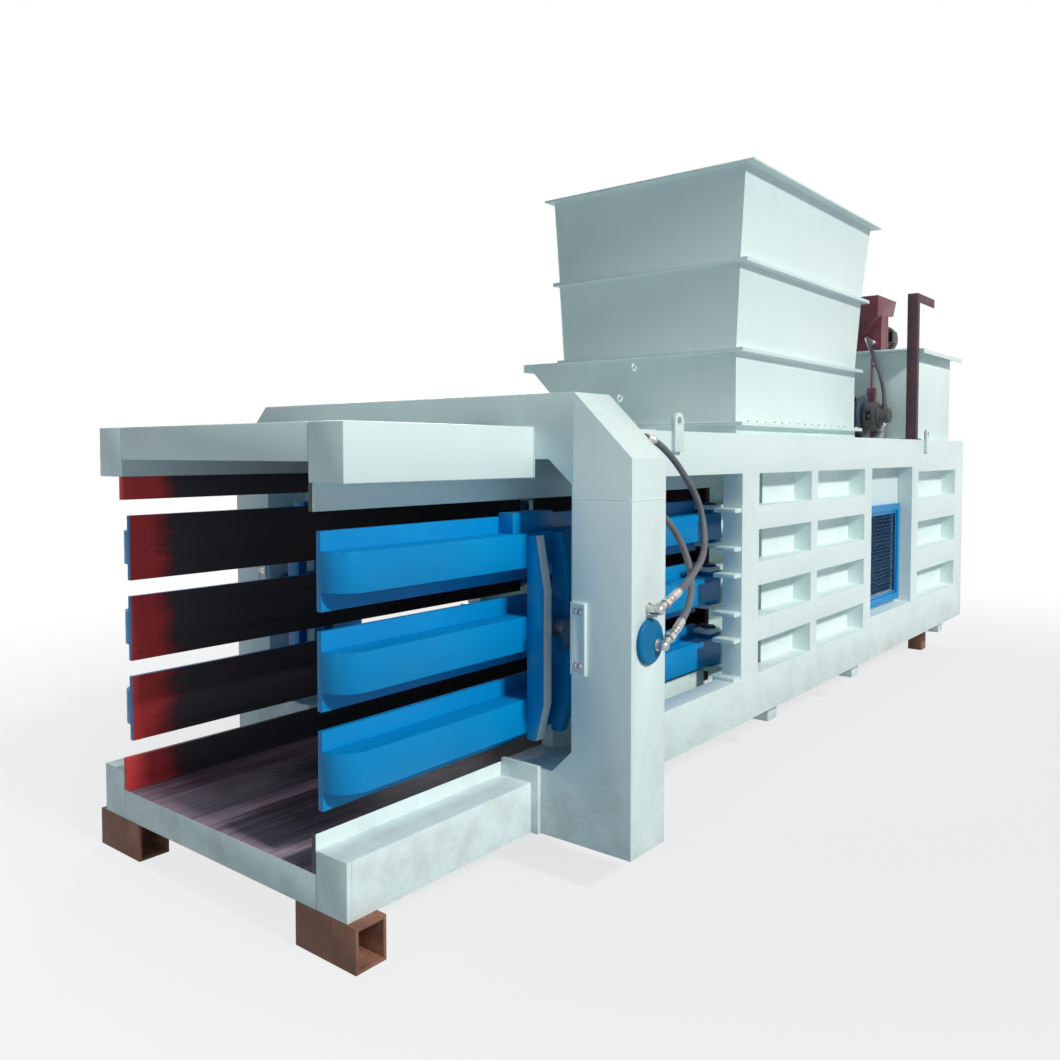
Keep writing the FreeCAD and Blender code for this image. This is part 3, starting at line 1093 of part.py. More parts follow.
for number in range(BLADE_COUNT):
    blade = doc.addObject("Part::Box", "blade")
    for name, size in (("Height", "fan_radius - fan_gap"), ("Length", "blade_thick"),
                       ("Width", "blade_chord")):
        blade.setExpression(name, bound(size))
    spin = FreeCAD.Rotation(V(1, 0, 0), 360 / BLADE_COUNT * number)
    pitch = FreeCAD.Rotation(V(0, 0, 1), BLADE_PITCH)
    corner = V(-value("blade_thick") / 2, -value("blade_chord") / 2, 0)
    offset = spin.multVec(pitch.multVec(corner))
    blade.Placement = FreeCAD.Placement(V(), spin.multiply(pitch))
    blades.append(place(blade, f"{fan_x} + blade_place + {offset.x:.4f}",
                        f"{fan_y} + {offset.y:.4f}", f"{fan_z} + {offset.z:.4f}"))
fan_bore = pin_hole("X", fan_x, fan_y, fan_z, "fan_shaft_radius + fit_gap",
                    "fan_hub_length + 6 * fan_gap")
node("cooler_fan", cut(fuse(hub, *blades), fan_bore))
fan_shaft = faceted("X", f"{fan_x} + fan_shaft_gap", fan_y, fan_z, "fan_shaft_radius",
                    "fan_shaft_length", 16)
fan_body = rod("X", f"{fan_x} + shroud_length + fan_motor_gap", fan_y, fan_z,
               "fan_motor_radius", "fan_motor_length")
foot_x = f"({fan_x} + shroud_length + fan_foot_start)"
fan_foot = box(foot_x, f"{fan_y} - fan_foot_width / 2", "cooler_z", "fan_foot_length",
               "fan_foot_width", "fan_height - fan_motor_radius + fan_foot_lap")
fan_box = box(foot_x, f"{fan_y} - fan_motor_radius - fan_box_reach",
              f"{fan_z} - fan_box_height / 2", "fan_box_length", "fan_box_depth",
              "fan_box_height")
node("fan_motor", fuse(fan_shaft, fan_body, fan_foot, fan_box))

# ---------------------------------------------------------------- hoses
# points are (from the portal's front face, across, above the portal's foot)
def route(points):
    """A hose's points in the machine's own frame."""
    return [(value("portal_x") + x, y, value("foot_height") + z) for x, y, z in points]


upper_port, lower_port = port_ends
tube_along(route([
    (330, -982, 1441), (392, -983, 1430), (470, -985, 1392), (546, -989, 1340),
    (614, -995, 1276), (673, -1004, 1211), (692, -1020, 1129), (667, -1044, 1049),
    (606, -1072, 992), (519, -1102, 966), (428, -1130, 946), (342, -1154, 925),
    (262, -1168, 903)]) + [upper_port],
    value("hose_radius"), "hose_upper")
tube_along(route([
    (265, -972, 1360), (272, -976, 1305), (310, -985, 1235), (375, -1000, 1175),
    (435, -1025, 1115), (470, -1055, 1040), (465, -1092, 955), (418, -1125, 880),
    (350, -1150, 828), (285, -1166, 797)]) + [lower_port],
    value("hose_radius"), "hose_lower")
tube_along(route([
    (4470, -400, 2210), (4400, -402, 2216), (4315, -412, 2222), (4228, -436, 2216),
    (4148, -474, 2184), (4090, -518, 2118), (4064, -566, 2020), (4058, -606, 1905),
    (4058, -628, 1790), (4057, -626, 1705), (4057, -620, 1640)]),
    value("power_hose_radius"), "power_hose")

# ---------------------------------------------------------------- check and write
doc.recompute()
failed = [item.Label for item in doc.Objects if {"Invalid", "Error"} & set(item.State)]
bad = [item.Label for item in NODES if item.Shape.isNull() or not item.Shape.isValid()]
if failed or bad:
    raise SystemExit(f"failed objects: {failed}; bad shapes: {bad}")
os.makedirs("parts", exist_ok=True)
for item in NODES:
    item.Shape.exportStep(os.path.join("parts", item.Label + ".step"))
print(len(NODES), "nodes")
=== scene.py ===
import json
import math

import bmesh
import bpy
from mathutils import Matrix, Vector


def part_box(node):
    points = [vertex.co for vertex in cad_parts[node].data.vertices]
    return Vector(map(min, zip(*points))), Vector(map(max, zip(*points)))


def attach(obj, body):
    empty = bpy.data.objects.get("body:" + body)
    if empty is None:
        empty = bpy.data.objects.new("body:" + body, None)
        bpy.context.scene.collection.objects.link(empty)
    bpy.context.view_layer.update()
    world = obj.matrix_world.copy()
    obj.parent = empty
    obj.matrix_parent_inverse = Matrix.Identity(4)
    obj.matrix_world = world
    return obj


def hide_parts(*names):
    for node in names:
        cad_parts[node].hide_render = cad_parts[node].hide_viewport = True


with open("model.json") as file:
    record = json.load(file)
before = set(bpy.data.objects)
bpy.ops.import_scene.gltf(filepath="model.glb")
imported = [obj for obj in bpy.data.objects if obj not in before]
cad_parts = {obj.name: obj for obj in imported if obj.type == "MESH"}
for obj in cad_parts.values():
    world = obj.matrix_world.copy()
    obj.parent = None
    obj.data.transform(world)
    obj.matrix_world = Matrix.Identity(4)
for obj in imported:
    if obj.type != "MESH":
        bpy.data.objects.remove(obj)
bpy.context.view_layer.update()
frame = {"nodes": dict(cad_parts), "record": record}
scene = bpy.context.scene
scene.view_settings.view_transform = "Standard"

# The camera stands at the near front corner of the machine, at eye height, a little wider than a
# standard lens, and is shifted down as the photo's frame is.
camera_data = bpy.data.cameras.new("camera")
camera_data.sensor_width = 36
camera_data.lens = 31.766
camera_data.shift_y = -0.03725
camera_data.clip_end = 80
camera = bpy.data.objects.new("camera", camera_data)
scene.collection.objects.link(camera)
camera.location = (-5.2262, -2.8149, 1.52725)
yaw, pitch = math.radians(38.774), math.radians(-2.3334)
looks_along = Vector((math.cos(yaw) * math.cos(pitch), math.sin(yaw) * math.cos(pitch),
                      math.sin(pitch)))
camera.rotation_euler = looks_along.to_track_quat("-Z", "Y").to_euler()
scene.camera = camera


# The hydraulic hoses are wire-braided rubber, satin black faded to grey, pressed into steel
# ferrules at both ends. Two serve the near squeeze cylinder, and one comes down from the oil
# cooler to the valve block.
def shader(name):
    """A new material with its principled shader."""
    made = bpy.data.materials.new(name)
    made.use_nodes = True
    return made, made.node_tree.nodes, made.node_tree.links, made.node_tree.nodes["Principled BSDF"]


def grain(nodes, links, scale, detail=4.0, stretch=(1, 1, 1), rough=0.55):
    """Noise on the piece's own coordinates, stretched along an axis where it runs in streaks."""
    where = nodes.new("ShaderNodeTexCoord")
    turn = nodes.new("ShaderNodeMapping")
    turn.inputs["Scale"].default_value = stretch
    links.new(where.outputs["Object"], turn.inputs["Vector"])
    noise = nodes.new("ShaderNodeTexNoise")
    noise.inputs["Scale"].default_value = scale
    noise.inputs["Detail"].default_value = detail
    noise.inputs["Roughness"].default_value = rough
    links.new(turn.outputs["Vector"], noise.inputs["Vector"])
    return noise.outputs["Fac"]


def ramp(nodes, links, source, stops):
    """A colour ramp from (place, colour) stops."""
    band = nodes.new("ShaderNodeValToRGB")
    links.new(source, band.inputs["Fac"])
    elements = band.color_ramp.elements
    while len(elements) < len(stops):
        elements.new(0.5)
    for element, (at, colour) in zip(elements, stops):
        element.position = at
        element.color = (*colour, 1) if len(colour) == 3 else colour
    return band.outputs["Color"]


def grey(level):
    return (level, level, level)


def along_axis(nodes, links, axis, start, end, low, high, easing="LINEAR"):
    """A level that goes from low to high between two places on an axis of the piece."""
    where = nodes.new("ShaderNodeTexCoord")
    split = nodes.new("ShaderNodeSeparateXYZ")
    links.new(where.outputs["Object"], split.inputs[0])
    span = nodes.new("ShaderNodeMapRange")
    for name, level in (("From Min", start), ("From Max", end), ("To Min", low), ("To Max", high)):
        span.inputs[name].default_value = level
    span.interpolation_type = easing
    links.new(split.outputs[axis], span.inputs["Value"])
    return span.outputs[0]


def bumped(nodes, links, surface, height, strength, distance):
    """Relief from a height on the shader's normal."""
    relief = nodes.new("ShaderNodeBump")
    relief.inputs["Strength"].default_value = strength
    relief.inputs["Distance"].default_value = distance
    links.new(height, relief.inputs["Height"])
    links.new(relief.outputs["Normal"], surface.inputs["Normal"])


def surfaced(nodes, links, surface, colour_by, colours, dull_by, dullness):
    """Colour and roughness of a surface, each along its own pattern."""
    links.new(ramp(nodes, links, colour_by, colours), surface.inputs["Base Color"])
    levels = [(at, grey(level)) for at, level in dullness]
    links.new(ramp(nodes, links, dull_by, levels), surface.inputs["Roughness"])


def hose_rubber():
    made, nodes, links, surface = shader("hose_rubber")
    dust = grain(nodes, links, 14)
    surfaced(nodes, links, surface, dust, [(0.3, (0.085, 0.09, 0.105)), (0.7, (0.17, 0.17, 0.20))],
             dust, [(0.3, 0.45), (0.75, 0.72)])
    wrap = nodes.new("ShaderNodeTexWave")
    wrap.wave_type, wrap.bands_direction = "BANDS", "Z"
    wrap.inputs["Scale"].default_value = 90
    wrap.inputs["Distortion"].default_value = 2
    where = nodes.new("ShaderNodeTexCoord")
    links.new(where.outputs["Object"], wrap.inputs["Vector"])
    bumped(nodes, links, surface, wrap.outputs["Fac"], 0.35, 0.0006)
    return made


hose_material = hose_rubber()
portal_x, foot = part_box("portal_frame")[0].x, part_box("portal_frame")[0].z


def placed(x, y, z):
    """A point given in millimetres behind the portal's front, across, and above its foot."""
    return portal_x + x / 1000, y / 1000, foot + z / 1000


def hose(node, points, diameter):
    """One hose on a smooth line through the air, from its first fitting to its last."""
    line = bpy.data.curves.new(node + "_line", "CURVE")
    line.dimensions = "3D"
    line.bevel_depth = diameter / 2
    line.bevel_resolution = 7
    line.resolution_u = 14
    line.use_fill_caps = True
    spline = line.splines.new("NURBS")
    spline.points.add(len(points) - 1)
    for point, at in zip(spline.points, points):
        point.co = (*placed(*at), 1)
    spline.order_u = 3
    spline.use_endpoint_u = True
    piece = bpy.data.objects.new(node + "_rubber", line)
    scene.collection.objects.link(piece)
    line.materials.append(hose_material)
    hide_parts(node)
    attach(piece, "frame")


THIN_HOSE, THICK_HOSE = 0.026, 0.028
hose("hose_upper", [
    (330, -982, 1441), (392, -983, 1430), (470, -985, 1392), (546, -989, 1340),
    (614, -995, 1276), (673, -1004, 1211), (692, -1020, 1129), (667, -1044, 1049),
    (606, -1072, 992), (519, -1102, 966), (428, -1130, 946), (342, -1154, 925),
    (262, -1168, 903), (197.27, -1172, 882.49)], THIN_HOSE)
hose("hose_lower", [
    (265, -972, 1360), (272, -976, 1305), (310, -985, 1235), (375, -1000, 1175),
    (435, -1025, 1115), (470, -1055, 1040), (465, -1092, 955), (418, -1125, 880),
    (350, -1150, 828), (285, -1166, 797), (224.65, -1172, 765.13)], THIN_HOSE)
hose("power_hose", [
    (4470, -400, 2210), (4400, -402, 2216), (4315, -412, 2222), (4228, -436, 2216),
    (4148, -474, 2184), (4090, -518, 2118), (4064, -566, 2020), (4058, -606, 1905),
    (4058, -628, 1790), (4057, -626, 1705), (4057, -620, 1640)], THICK_HOSE)

# The stage is a white floor and a white surround. The key light stands high on the near side, as
# the sun did, one wide fill lights the front and one the rear, and the surround lights the rest.
floor_data = bpy.data.meshes.new("floor")
sketch = bmesh.new()
bmesh.ops.create_grid(sketch, x_segments=1, y_segments=1, size=60)
sketch.to_mesh(floor_data)
sketch.free()
floor = bpy.data.objects.new("floor", floor_data)
scene.collection.objects.link(floor)
floor.location.z = -0.001


def combined(nodes, links, operation, first, second):
    """One value from two."""
    both = nodes.new("ShaderNodeMath")
    both.operation = operation
    links.new(first, both.inputs[0])
    links.new(second, both.inputs[1])
    return both.outputs[0]


def white_for_rays(nodes, links):
    """One for the rays that see the surround, straight or by a reflection."""
    path = nodes.new("ShaderNodeLightPath")
    seen = combined(nodes, links, "MAXIMUM", path.outputs["Is Camera Ray"],
                    path.outputs["Is Glossy Ray"])
    return combined(nodes, links, "MAXIMUM", seen, path.outputs["Is Transmission Ray"])


floor_material, nodes, links, surface = shader("floor_white")
surface.inputs["Base Color"].default_value = (0.42, 0.47, 0.52, 1)
surface.inputs["Roughness"].default_value = 0.9
surface.inputs["Specular IOR Level"].default_value = 0.0
far_white = nodes.new("ShaderNodeEmission")
far_white.inputs["Color"].default_value = (1, 1, 1, 1)
place = nodes.new("ShaderNodeTexCoord")
reach = nodes.new("ShaderNodeVectorMath")
reach.operation = "LENGTH"
links.new(place.outputs["Object"], reach.inputs[0])
fade = nodes.new("ShaderNodeMapRange")
fade.inputs["From Min"].default_value = 2.2
fade.inputs["From Max"].default_value = 6.5
fade.inputs["To Min"].default_value = 0.74
fade.interpolation_type = "SMOOTHSTEP"
links.new(reach.outputs["Value"], fade.inputs["Value"])
share = combined(nodes, links, "MULTIPLY", fade.outputs[0], white_for_rays(nodes, links))
blend = nodes.new("ShaderNodeMixShader")
links.new(share, blend.inputs["Fac"])
links.new(surface.outputs["BSDF"], blend.inputs[1])
links.new(far_white.outputs[0], blend.inputs[2])
links.new(blend.outputs[0], nodes["Material Output"].inputs["Surface"])
floor_data.materials.append(floor_material)

world = bpy.data.worlds.new("surround")
world.use_nodes = True
scene.world = world
nodes, links = world.node_tree.nodes, world.node_tree.links
plain = nodes["Background"]
plain.inputs["Color"].default_value = (0.62, 0.84, 1.0, 1)
plain.inputs["Strength"].default_value = 0.12
seen_white = nodes.new("ShaderNodeBackground")
seen_white.inputs["Color"].default_value = (1, 1, 1, 1)
blend = nodes.new("ShaderNodeMixShader")
links.new(white_for_rays(nodes, links), blend.inputs["Fac"])
links.new(plain.outputs[0], blend.inputs[1])
links.new(seen_white.outputs[0], blend.inputs[2])
links.new(blend.outputs[0], nodes["World Output"].inputs["Surface"])


def lamp(name, spot, aim, size, power, colour):
    """A square soft lamp that faces a point."""
    data = bpy.data.lights.new(name, "AREA")
    data.size = size
    data.energy = power
    data.color = colour
    item = bpy.data.objects.new(name, data)
    scene.collection.objects.link(item)
    item.location = spot
    item.rotation_euler = (Vector(aim) - Vector(spot)).to_track_quat("-Z", "Y").to_euler()


lamp("key", (-3.2, -52.8, 40.6), (-0.2, 0, 1.0), 6.5, 36500, (1.0, 0.985, 0.95))
lamp("front_fill", (-11.0, -2.5, 2.4), (0, 0, 1.0), 5.0, 62, (0.66, 0.87, 1.0))
lamp("rear_fill", (9.0, 12.0, 8.0), (0, 0, 1.2), 5.0, 1500, (0.97, 0.99, 1.0))


# Every plate of the frame carries the same semi-gloss mint-white enamel, sprayed over welded
# plate: faint waviness, orange peel, runs and dust, and grime near the ground.
def enamel(name, colour, shade, gloss=0.32, grime=0.5, peel=0.25, shine=0.5):
    """Sprayed enamel: two close tones in cloudy patches, faint runs, dust low down."""
    made, nodes, links, surface = shader(name)
    surface.inputs["Specular IOR Level"].default_value = shine
    clouds = grain(nodes, links, 1.6, detail=5)
    tone = ramp(nodes, links, clouds, [(0.32, shade), (0.66, colour)])
    low_down = along_axis(nodes, links, "Z", 0.62, 0.02, 0.0, grime)
    spots = grain(nodes, links, 5.5, detail=8, rough=0.7)
    patches = ramp(nodes, links, spots, [(0.46, grey(0)), (0.72, grey(1))])
    patch = combined(nodes, links, "MULTIPLY", patches, low_down)
    runs = grain(nodes, links, 9, detail=3, stretch=(1, 1, 0.08))
    run_share = ramp(nodes, links, runs, [(0.60, grey(0)), (0.78, grey(0.16 * grime))])
    chips = grain(nodes, links, 34, detail=6, rough=0.75)
    chip_share = ramp(nodes, links, chips, [(0.70, grey(0)), (0.74, grey(0.35 * grime))])
    dirt = combined(nodes, links, "MAXIMUM", patch, run_share)
    dirt = combined(nodes, links, "MAXIMUM", dirt, chip_share)
    mix = nodes.new("ShaderNodeMix")
    mix.data_type = "RGBA"
    mix.inputs[7].default_value = (0.24, 0.19, 0.15, 1)
    links.new(dirt, mix.inputs["Factor"])
    links.new(tone, mix.inputs[6])
    links.new(mix.outputs[2], surface.inputs["Base Color"])
    rough = ramp(nodes, links, spots, [(0.3, grey(gloss)), (0.8, grey(gloss + 0.2))])
    links.new(rough, surface.inputs["Roughness"])
    waves = grain(nodes, links, 3.2, detail=2)
    fine = grain(nodes, links, 260, detail=2)
    height = nodes.new("ShaderNodeMath")
    height.operation = "MULTIPLY_ADD"
    links.new(fine, height.inputs[0])
    height.inputs[1].default_value = 0.02
    links.new(waves, height.inputs[2])
    bumped(nodes, links, surface, height.outputs[0], peel, 0.012)
    return made


mint = enamel("mint_enamel", (0.775, 0.895, 0.875), (0.72, 0.85, 0.835))


# The channel is lined with wear plate primed red. Painted shade darkens it inside the channel; on
# the far side painted sunlight keeps the red bright near the mouth, and the near side is in painted
# shade throughout.
def mouth_sunlight(nodes, links, inside, outside):
    """Painted light: a grey that goes from a shaded level in the channel to a sunlit one at the
    outlet.
    """
    return along_axis(nodes, links, "X", portal_x - 0.60, portal_x - 0.86, inside, outside,
                      "SMOOTHSTEP")


def wear_plate(name, mouth_light):
    """Plate in painted shade; a mouth share of one adds painted sunlit red at the mouth, none adds
    none.
    """
    made, nodes, links, surface = shader(name)
    patches = grain(nodes, links, 2.4, detail=9, rough=0.68, stretch=(0.35, 1, 1))
    # The lit red share grows towards the mouth: painted sunlight there, painted shade further in.
    lit_share = combined(nodes, links, "MULTIPLY", patches,
                      mouth_sunlight(nodes, links, 0.62, 0.62 + mouth_light))
    streaks = grain(nodes, links, 30, detail=6, stretch=(0.03, 1, 1))
    surfaced(nodes, links, surface, lit_share,
             [(0.34, (0.026, 0.026, 0.034)), (0.42, (0.045, 0.022, 0.028)),
              (0.50, (0.28, 0.026, 0.032)), (0.64, (0.66, 0.046, 0.050))],
             streaks, [(0.3, 0.42), (0.7, 0.70)])
    bumped(nodes, links, surface, streaks, 0.25, 0.002)
    return made


# The far side's liner carries painted sunlight at the mouth; the near side's stays in painted
# shade.
mouth_lit_liner = wear_plate("wear_plate", 0.85)
shaded_liner = wear_plate("wear_plate_painted_shade", 0.0)


# The channel's floor is scuffed plate with pale scratches along it, in painted shade inside the
# channel and lit mauve by painted sunlight at the mouth.
def scuffed_floor_in_shade():
    made, nodes, links, surface = shader("scuffed_floor_in_shade")
    patches = grain(nodes, links, 2.0, detail=9, rough=0.66, stretch=(0.3, 1, 1))
    streaks = grain(nodes, links, 46, detail=7, stretch=(0.02, 1, 1))
    # The mouth share lifts the floor to lit mauve there, painted sunlight; further in it stays in
    # painted shade.
    both = combined(nodes, links, "MULTIPLY", combined(nodes, links, "MULTIPLY", patches, streaks),
                    mouth_sunlight(nodes, links, 1.0, 1.85))
    surfaced(nodes, links, surface, both,
             [(0.14, (0.030, 0.020, 0.028)), (0.25, (0.075, 0.050, 0.066)),
              (0.36, (0.24, 0.17, 0.23)), (0.46, (0.38, 0.29, 0.36))],
             streaks, [(0.3, 0.30), (0.7, 0.62)])
    bumped(nodes, links, surface, streaks, 0.3, 0.002)
    return made


shaded_floor = scuffed_floor_in_shade()


def merged_copy(node):
    """The node's own faces as one closed sketch: doubles merged, flat faces whole again."""
    sketch = bmesh.new()
    sketch.from_mesh(frame["nodes"][node].data)
    bmesh.ops.remove_doubles(sketch, verts=sketch.verts, dist=0.00002)
    bmesh.ops.dissolve_limit(sketch, angle_limit=math.radians(1), verts=sketch.verts,
                             edges=sketch.edges)
    return sketch


def turns_more_than(edge, degrees):
    return len(edge.link_faces) == 2 and edge.calc_face_angle(0) > math.radians(degrees)


def shown(sketch, name, body, materials, replaces=(), smooth_below=26):
    """Finish a sketch as a piece: smooth over its round faces, sharp at its edges."""
    for face in sketch.faces:
        face.smooth = True
    for edge in sketch.edges:
        edge.smooth = not turns_more_than(edge, smooth_below)
    data = bpy.data.meshes.new(name)
    sketch.to_mesh(data)
    sketch.free()
    for material in materials:
        data.materials.append(material)
    piece = bpy.data.objects.new(name, data)
    scene.collection.objects.link(piece)
    if replaces:
        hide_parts(*replaces)
    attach(piece, body)
    return piece


body_of_node = {node: body for body, row in frame["record"]["behaviour"]["bodies"].items()
                for node in row}


def softened(node, width, material, other_finish=None, rule=None, steps=2):
    """The node with its sharp edges eased, as ground and painted plate has them."""
    sketch = merged_copy(node)
    edges = [edge for edge in sketch.edges if turns_more_than(edge, 40)]
    bmesh.ops.bevel(sketch, geom=edges, offset=width, segments=steps, profile=0.5,
                    affect="EDGES", clamp_overlap=True, material=-1)
    materials = [material]
    if other_finish:
        materials.append(other_finish)
        sketch.normal_update()
        for face in sketch.faces:
            if rule(face):
                face.material_index = 1
    return shown(sketch, node + "_painted", body_of_node[node], materials, [node])


FRAME_PLATES = {
    "portal_frame": 0.004, "side_wall_near": 0.003, "side_wall_far": 0.003,
    "chute_top_beam_near": 0.004, "chute_top_beam_far": 0.004, "chute_front_beam": 0.004,
    "chute_side_beam_near": 0.004, "chute_side_beam_far": 0.004,
    "roof_front": 0.003, "roof_rear": 0.003, "rear_crosshead": 0.004, "hinge_plates": 0.002,
    "keeper_plates": 0.0015, "lifting_lugs": 0.002, "oil_tank": 0.0025, "tank_lid": 0.002,
    "hopper_curb": 0.0025, "hopper_lower": 0.002, "hopper_middle": 0.002, "hopper_upper": 0.002,
}
for node, width in FRAME_PLATES.items():
    softened(node, width, mint)
deck_high, lined_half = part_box("floor_deck")[1].z, 0.56
softened("floor_deck", 0.003, mint, shaded_floor,
         lambda face: face.normal.z > 0.9 and abs(face.calc_center_median().y) < lined_half
         and face.calc_center_median().z > deck_high - 0.002)

# The squeeze doors, their push ribs, the cylinders' end caps and the service hatch are sprayed in
# glossy blue enamel over the same plate. The doors' channel faces are wear plate with the liners'
# painted shade.
blue = enamel("blue_enamel", (0.0, 0.27, 0.61), (0.0, 0.225, 0.53), gloss=0.26, grime=0.15,
              shine=0.2)
cap_blue = enamel("cap_enamel", (0.0, 0.19, 0.41), (0.0, 0.15, 0.34), gloss=0.3, grime=0.15,
                  shine=0.15)
# The front push rib's outer edge is painted whiter than the mint, a painted highlight where
# sunlight falls.
rib_sunlit_white = enamel("rib_sunlit_white", (0.88, 0.93, 0.93), (0.84, 0.90, 0.90), grime=0.1)
pad_low, pad_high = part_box("pressure_pad_near")
front_rib, rib_top = (pad_low.x + pad_high.x) / 2, pad_high.z - 0.078
for side, sense in (("near", 1), ("far", -1)):
    inner = abs(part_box("squeeze_door_" + side)[1 if sense > 0 else 0].y)
    channel_shade = shaded_liner if side == "near" else mouth_lit_liner
    softened("squeeze_door_" + side, 0.003, blue, channel_shade,
             lambda face: face.normal.y * sense > 0.9
             and abs(face.calc_center_median().y) < inner + 0.001)
    softened("pressure_pad_" + side, 0.002, blue, rib_sunlit_white,
             lambda face: face.calc_center_median().z < rib_top
             and face.calc_center_median().x < front_rib and face.normal.y * sense < -0.6)
    softened("cylinder_cap_" + side, 0.0015, cap_blue)
    softened("wall_liner_" + side, 0.0015, channel_shade, mint,
             lambda face: face.normal.y * sense < -0.5)
softened("mesh_door", 0.002, blue)
softened("ram_apron", 0.0015, shaded_liner)


# The ram is primed in red oxide, rubbed bright where it slides.
def red_primer():
    made, nodes, links, surface = shader("red_primer")
    patches = grain(nodes, links, 4, detail=8, rough=0.65)
    surfaced(nodes, links, surface, patches,
             [(0.35, (0.30, 0.035, 0.040)), (0.60, (0.40, 0.055, 0.06)),
              (0.78, (0.20, 0.12, 0.11))], patches, [(0.3, 0.62), (0.8, 0.4)])
    bumped(nodes, links, surface, grain(nodes, links, 120), 0.2, 0.001)
    return made


primer = red_primer()
for node in ("ram_face", "ram_body"):
    softened(node, 0.003, primer)


# The rods, knife, bolts, port unions, ferrules and drive coupling are machined steel, bright under
# a thin film, with fine tool marks.
def machined_steel():
    made, nodes, links, surface = shader("machined_steel")
    surface.inputs["Metallic"].default_value = 1.0
    film = grain(nodes, links, 18, detail=6)
    surfaced(nodes, links, surface, film, [(0.35, (0.42, 0.41, 0.40)), (0.7, (0.66, 0.66, 0.65))],
             film, [(0.3, 0.28), (0.8, 0.46)])
    bumped(nodes, links, surface, grain(nodes, links, 420, stretch=(1, 0.2, 1)), 0.15, 0.0006)
    return made


steel = machined_steel()
for node in ("fixed_knife", "side_rod_near", "side_rod_far", "main_rod", "drive_coupling"):
    softened(node, 0.0012, steel)

# The cylinders wear dark blue-black enamel; the pump, bell housing and manifold are plain cast
# iron under a thin dark coat.
dark_enamel = enamel("dark_enamel", (0.055, 0.075, 0.115), (0.040, 0.055, 0.085), grime=0.1)
for node in ("side_cylinder_near", "side_cylinder_far", "main_cylinder"):
    softened(node, 0.002, dark_enamel)


def cast_iron():
    made, nodes, links, surface = shader("cast_iron")
    sand = grain(nodes, links, 160, detail=5)
    surfaced(nodes, links, surface, sand, [(0.3, (0.045, 0.045, 0.05)), (0.7, (0.09, 0.088, 0.09))],
             sand, [(0.3, 0.5), (0.7, 0.68)])
    bumped(nodes, links, surface, sand, 0.5, 0.0012)
    return made


iron = cast_iron()
for node in ("pump", "bell_housing", "hose_manifold"):
    softened(node, 0.002, iron)


# The feet and the angle post stand in brown primer that has begun to rust.
def rusty_primer(name, dark, middle, bright):
    made, nodes, links, surface = shader(name)
    patches = grain(nodes, links, 9, detail=9, rough=0.7)
    surfaced(nodes, links, surface, patches, [(0.36, dark), (0.54, middle), (0.72, bright)],
             patches, [(0.3, 0.6), (0.7, 0.88)])
    bumped(nodes, links, surface, patches, 0.5, 0.003)
    return made


rust = rusty_primer("rusty_steel", (0.14, 0.062, 0.045), (0.27, 0.12, 0.075), (0.42, 0.21, 0.12))
softened("support_feet", 0.0015, rust)
aubergine = rusty_primer("brown_primer", (0.055, 0.028, 0.040), (0.085, 0.042, 0.055),
                         (0.16, 0.065, 0.060))
softened("gallows_post", 0.0015, aubergine)


# Hexagon bolts with round washers: they hold the hopper on its curb and the keeper plates on the
# portal. They are zinc-plated steel, so they share the machined finish.
def islands(node):
    """The lowest and highest corner of each separate solid of a node, in a fixed order."""
    sketch = merged_copy(node)
    left, found = set(sketch.verts), []
    while left:
        ahead, joined = [left.pop()], []
        while ahead:
            vert = ahead.pop()
            joined.append(vert.co)
            for edge in vert.link_edges:
                other = edge.other_vert(vert)
                if other in left:
                    left.remove(other)
                    ahead.append(other)
        found.append((Vector([min(co[axis] for co in joined) for axis in range(3)]),
                      Vector([max(co[axis] for co in joined) for axis in range(3)])))
    sketch.free()
    return sorted(found, key=lambda row: tuple(row[0]))


def once(items):
    """Each item once, in the order they come, so that every run works on them alike."""
    return list(dict.fromkeys(items))


def stand(at, axis, twist=0.0):
    """The matrix that takes the Z axis to a direction and the origin to a point."""
    turn = Vector((0, 0, 1)).rotation_difference(Vector(axis)).to_matrix().to_4x4()
    return Matrix.Translation(Vector(at)) @ turn @ Matrix.Rotation(twist, 4, "Z")


def lathe(sketch, profile, at, axis, steps=32):
    """Turn a profile of (radius, height) about an axis that starts at a point."""
    part = bmesh.new()
    chain = [part.verts.new((radius, 0, height)) for radius, height in profile]
    edges = [part.edges.new(pair) for pair in zip(chain, chain[1:])]
    bmesh.ops.spin(part, geom=chain + edges, cent=(0, 0, 0), axis=(0, 0, 1),
                   angle=math.tau, steps=steps, use_merge=True)
    bmesh.ops.remove_doubles(part, verts=part.verts, dist=0.00001)
    bmesh.ops.transform(part, matrix=stand(at, axis), verts=part.verts)
    bmesh.ops.recalc_face_normals(part, faces=part.faces)
    turned = bpy.data.meshes.new("turned")
    part.to_mesh(turned)
    part.free()
    sketch.from_mesh(turned)
    bpy.data.meshes.remove(turned)


def hexagon(sketch, at, axis, across, depth, twist=0.0):
    """A hexagon head with its top corners turned down to a circle."""
    made = bmesh.ops.create_cone(sketch, cap_ends=True, segments=6, radius1=across / math.sqrt(3),
                                 radius2=across / math.sqrt(3), depth=depth)["verts"]
    top = [edge for edge in once(edge for vert in made for edge in vert.link_edges)
           if all(vert.co.z > 0 for vert in edge.verts)]
    eased = bmesh.ops.bevel(sketch, geom=top, offset=depth * 0.16, segments=2, profile=0.5,
                            affect="EDGES", material=-1)["verts"]
    made = [vert for vert in once([*made, *eased]) if vert.is_valid]
    raised = stand(at, axis, twist) @ Matrix.Translation((0, 0, depth / 2))
    bmesh.ops.transform(sketch, matrix=raised, verts=made)


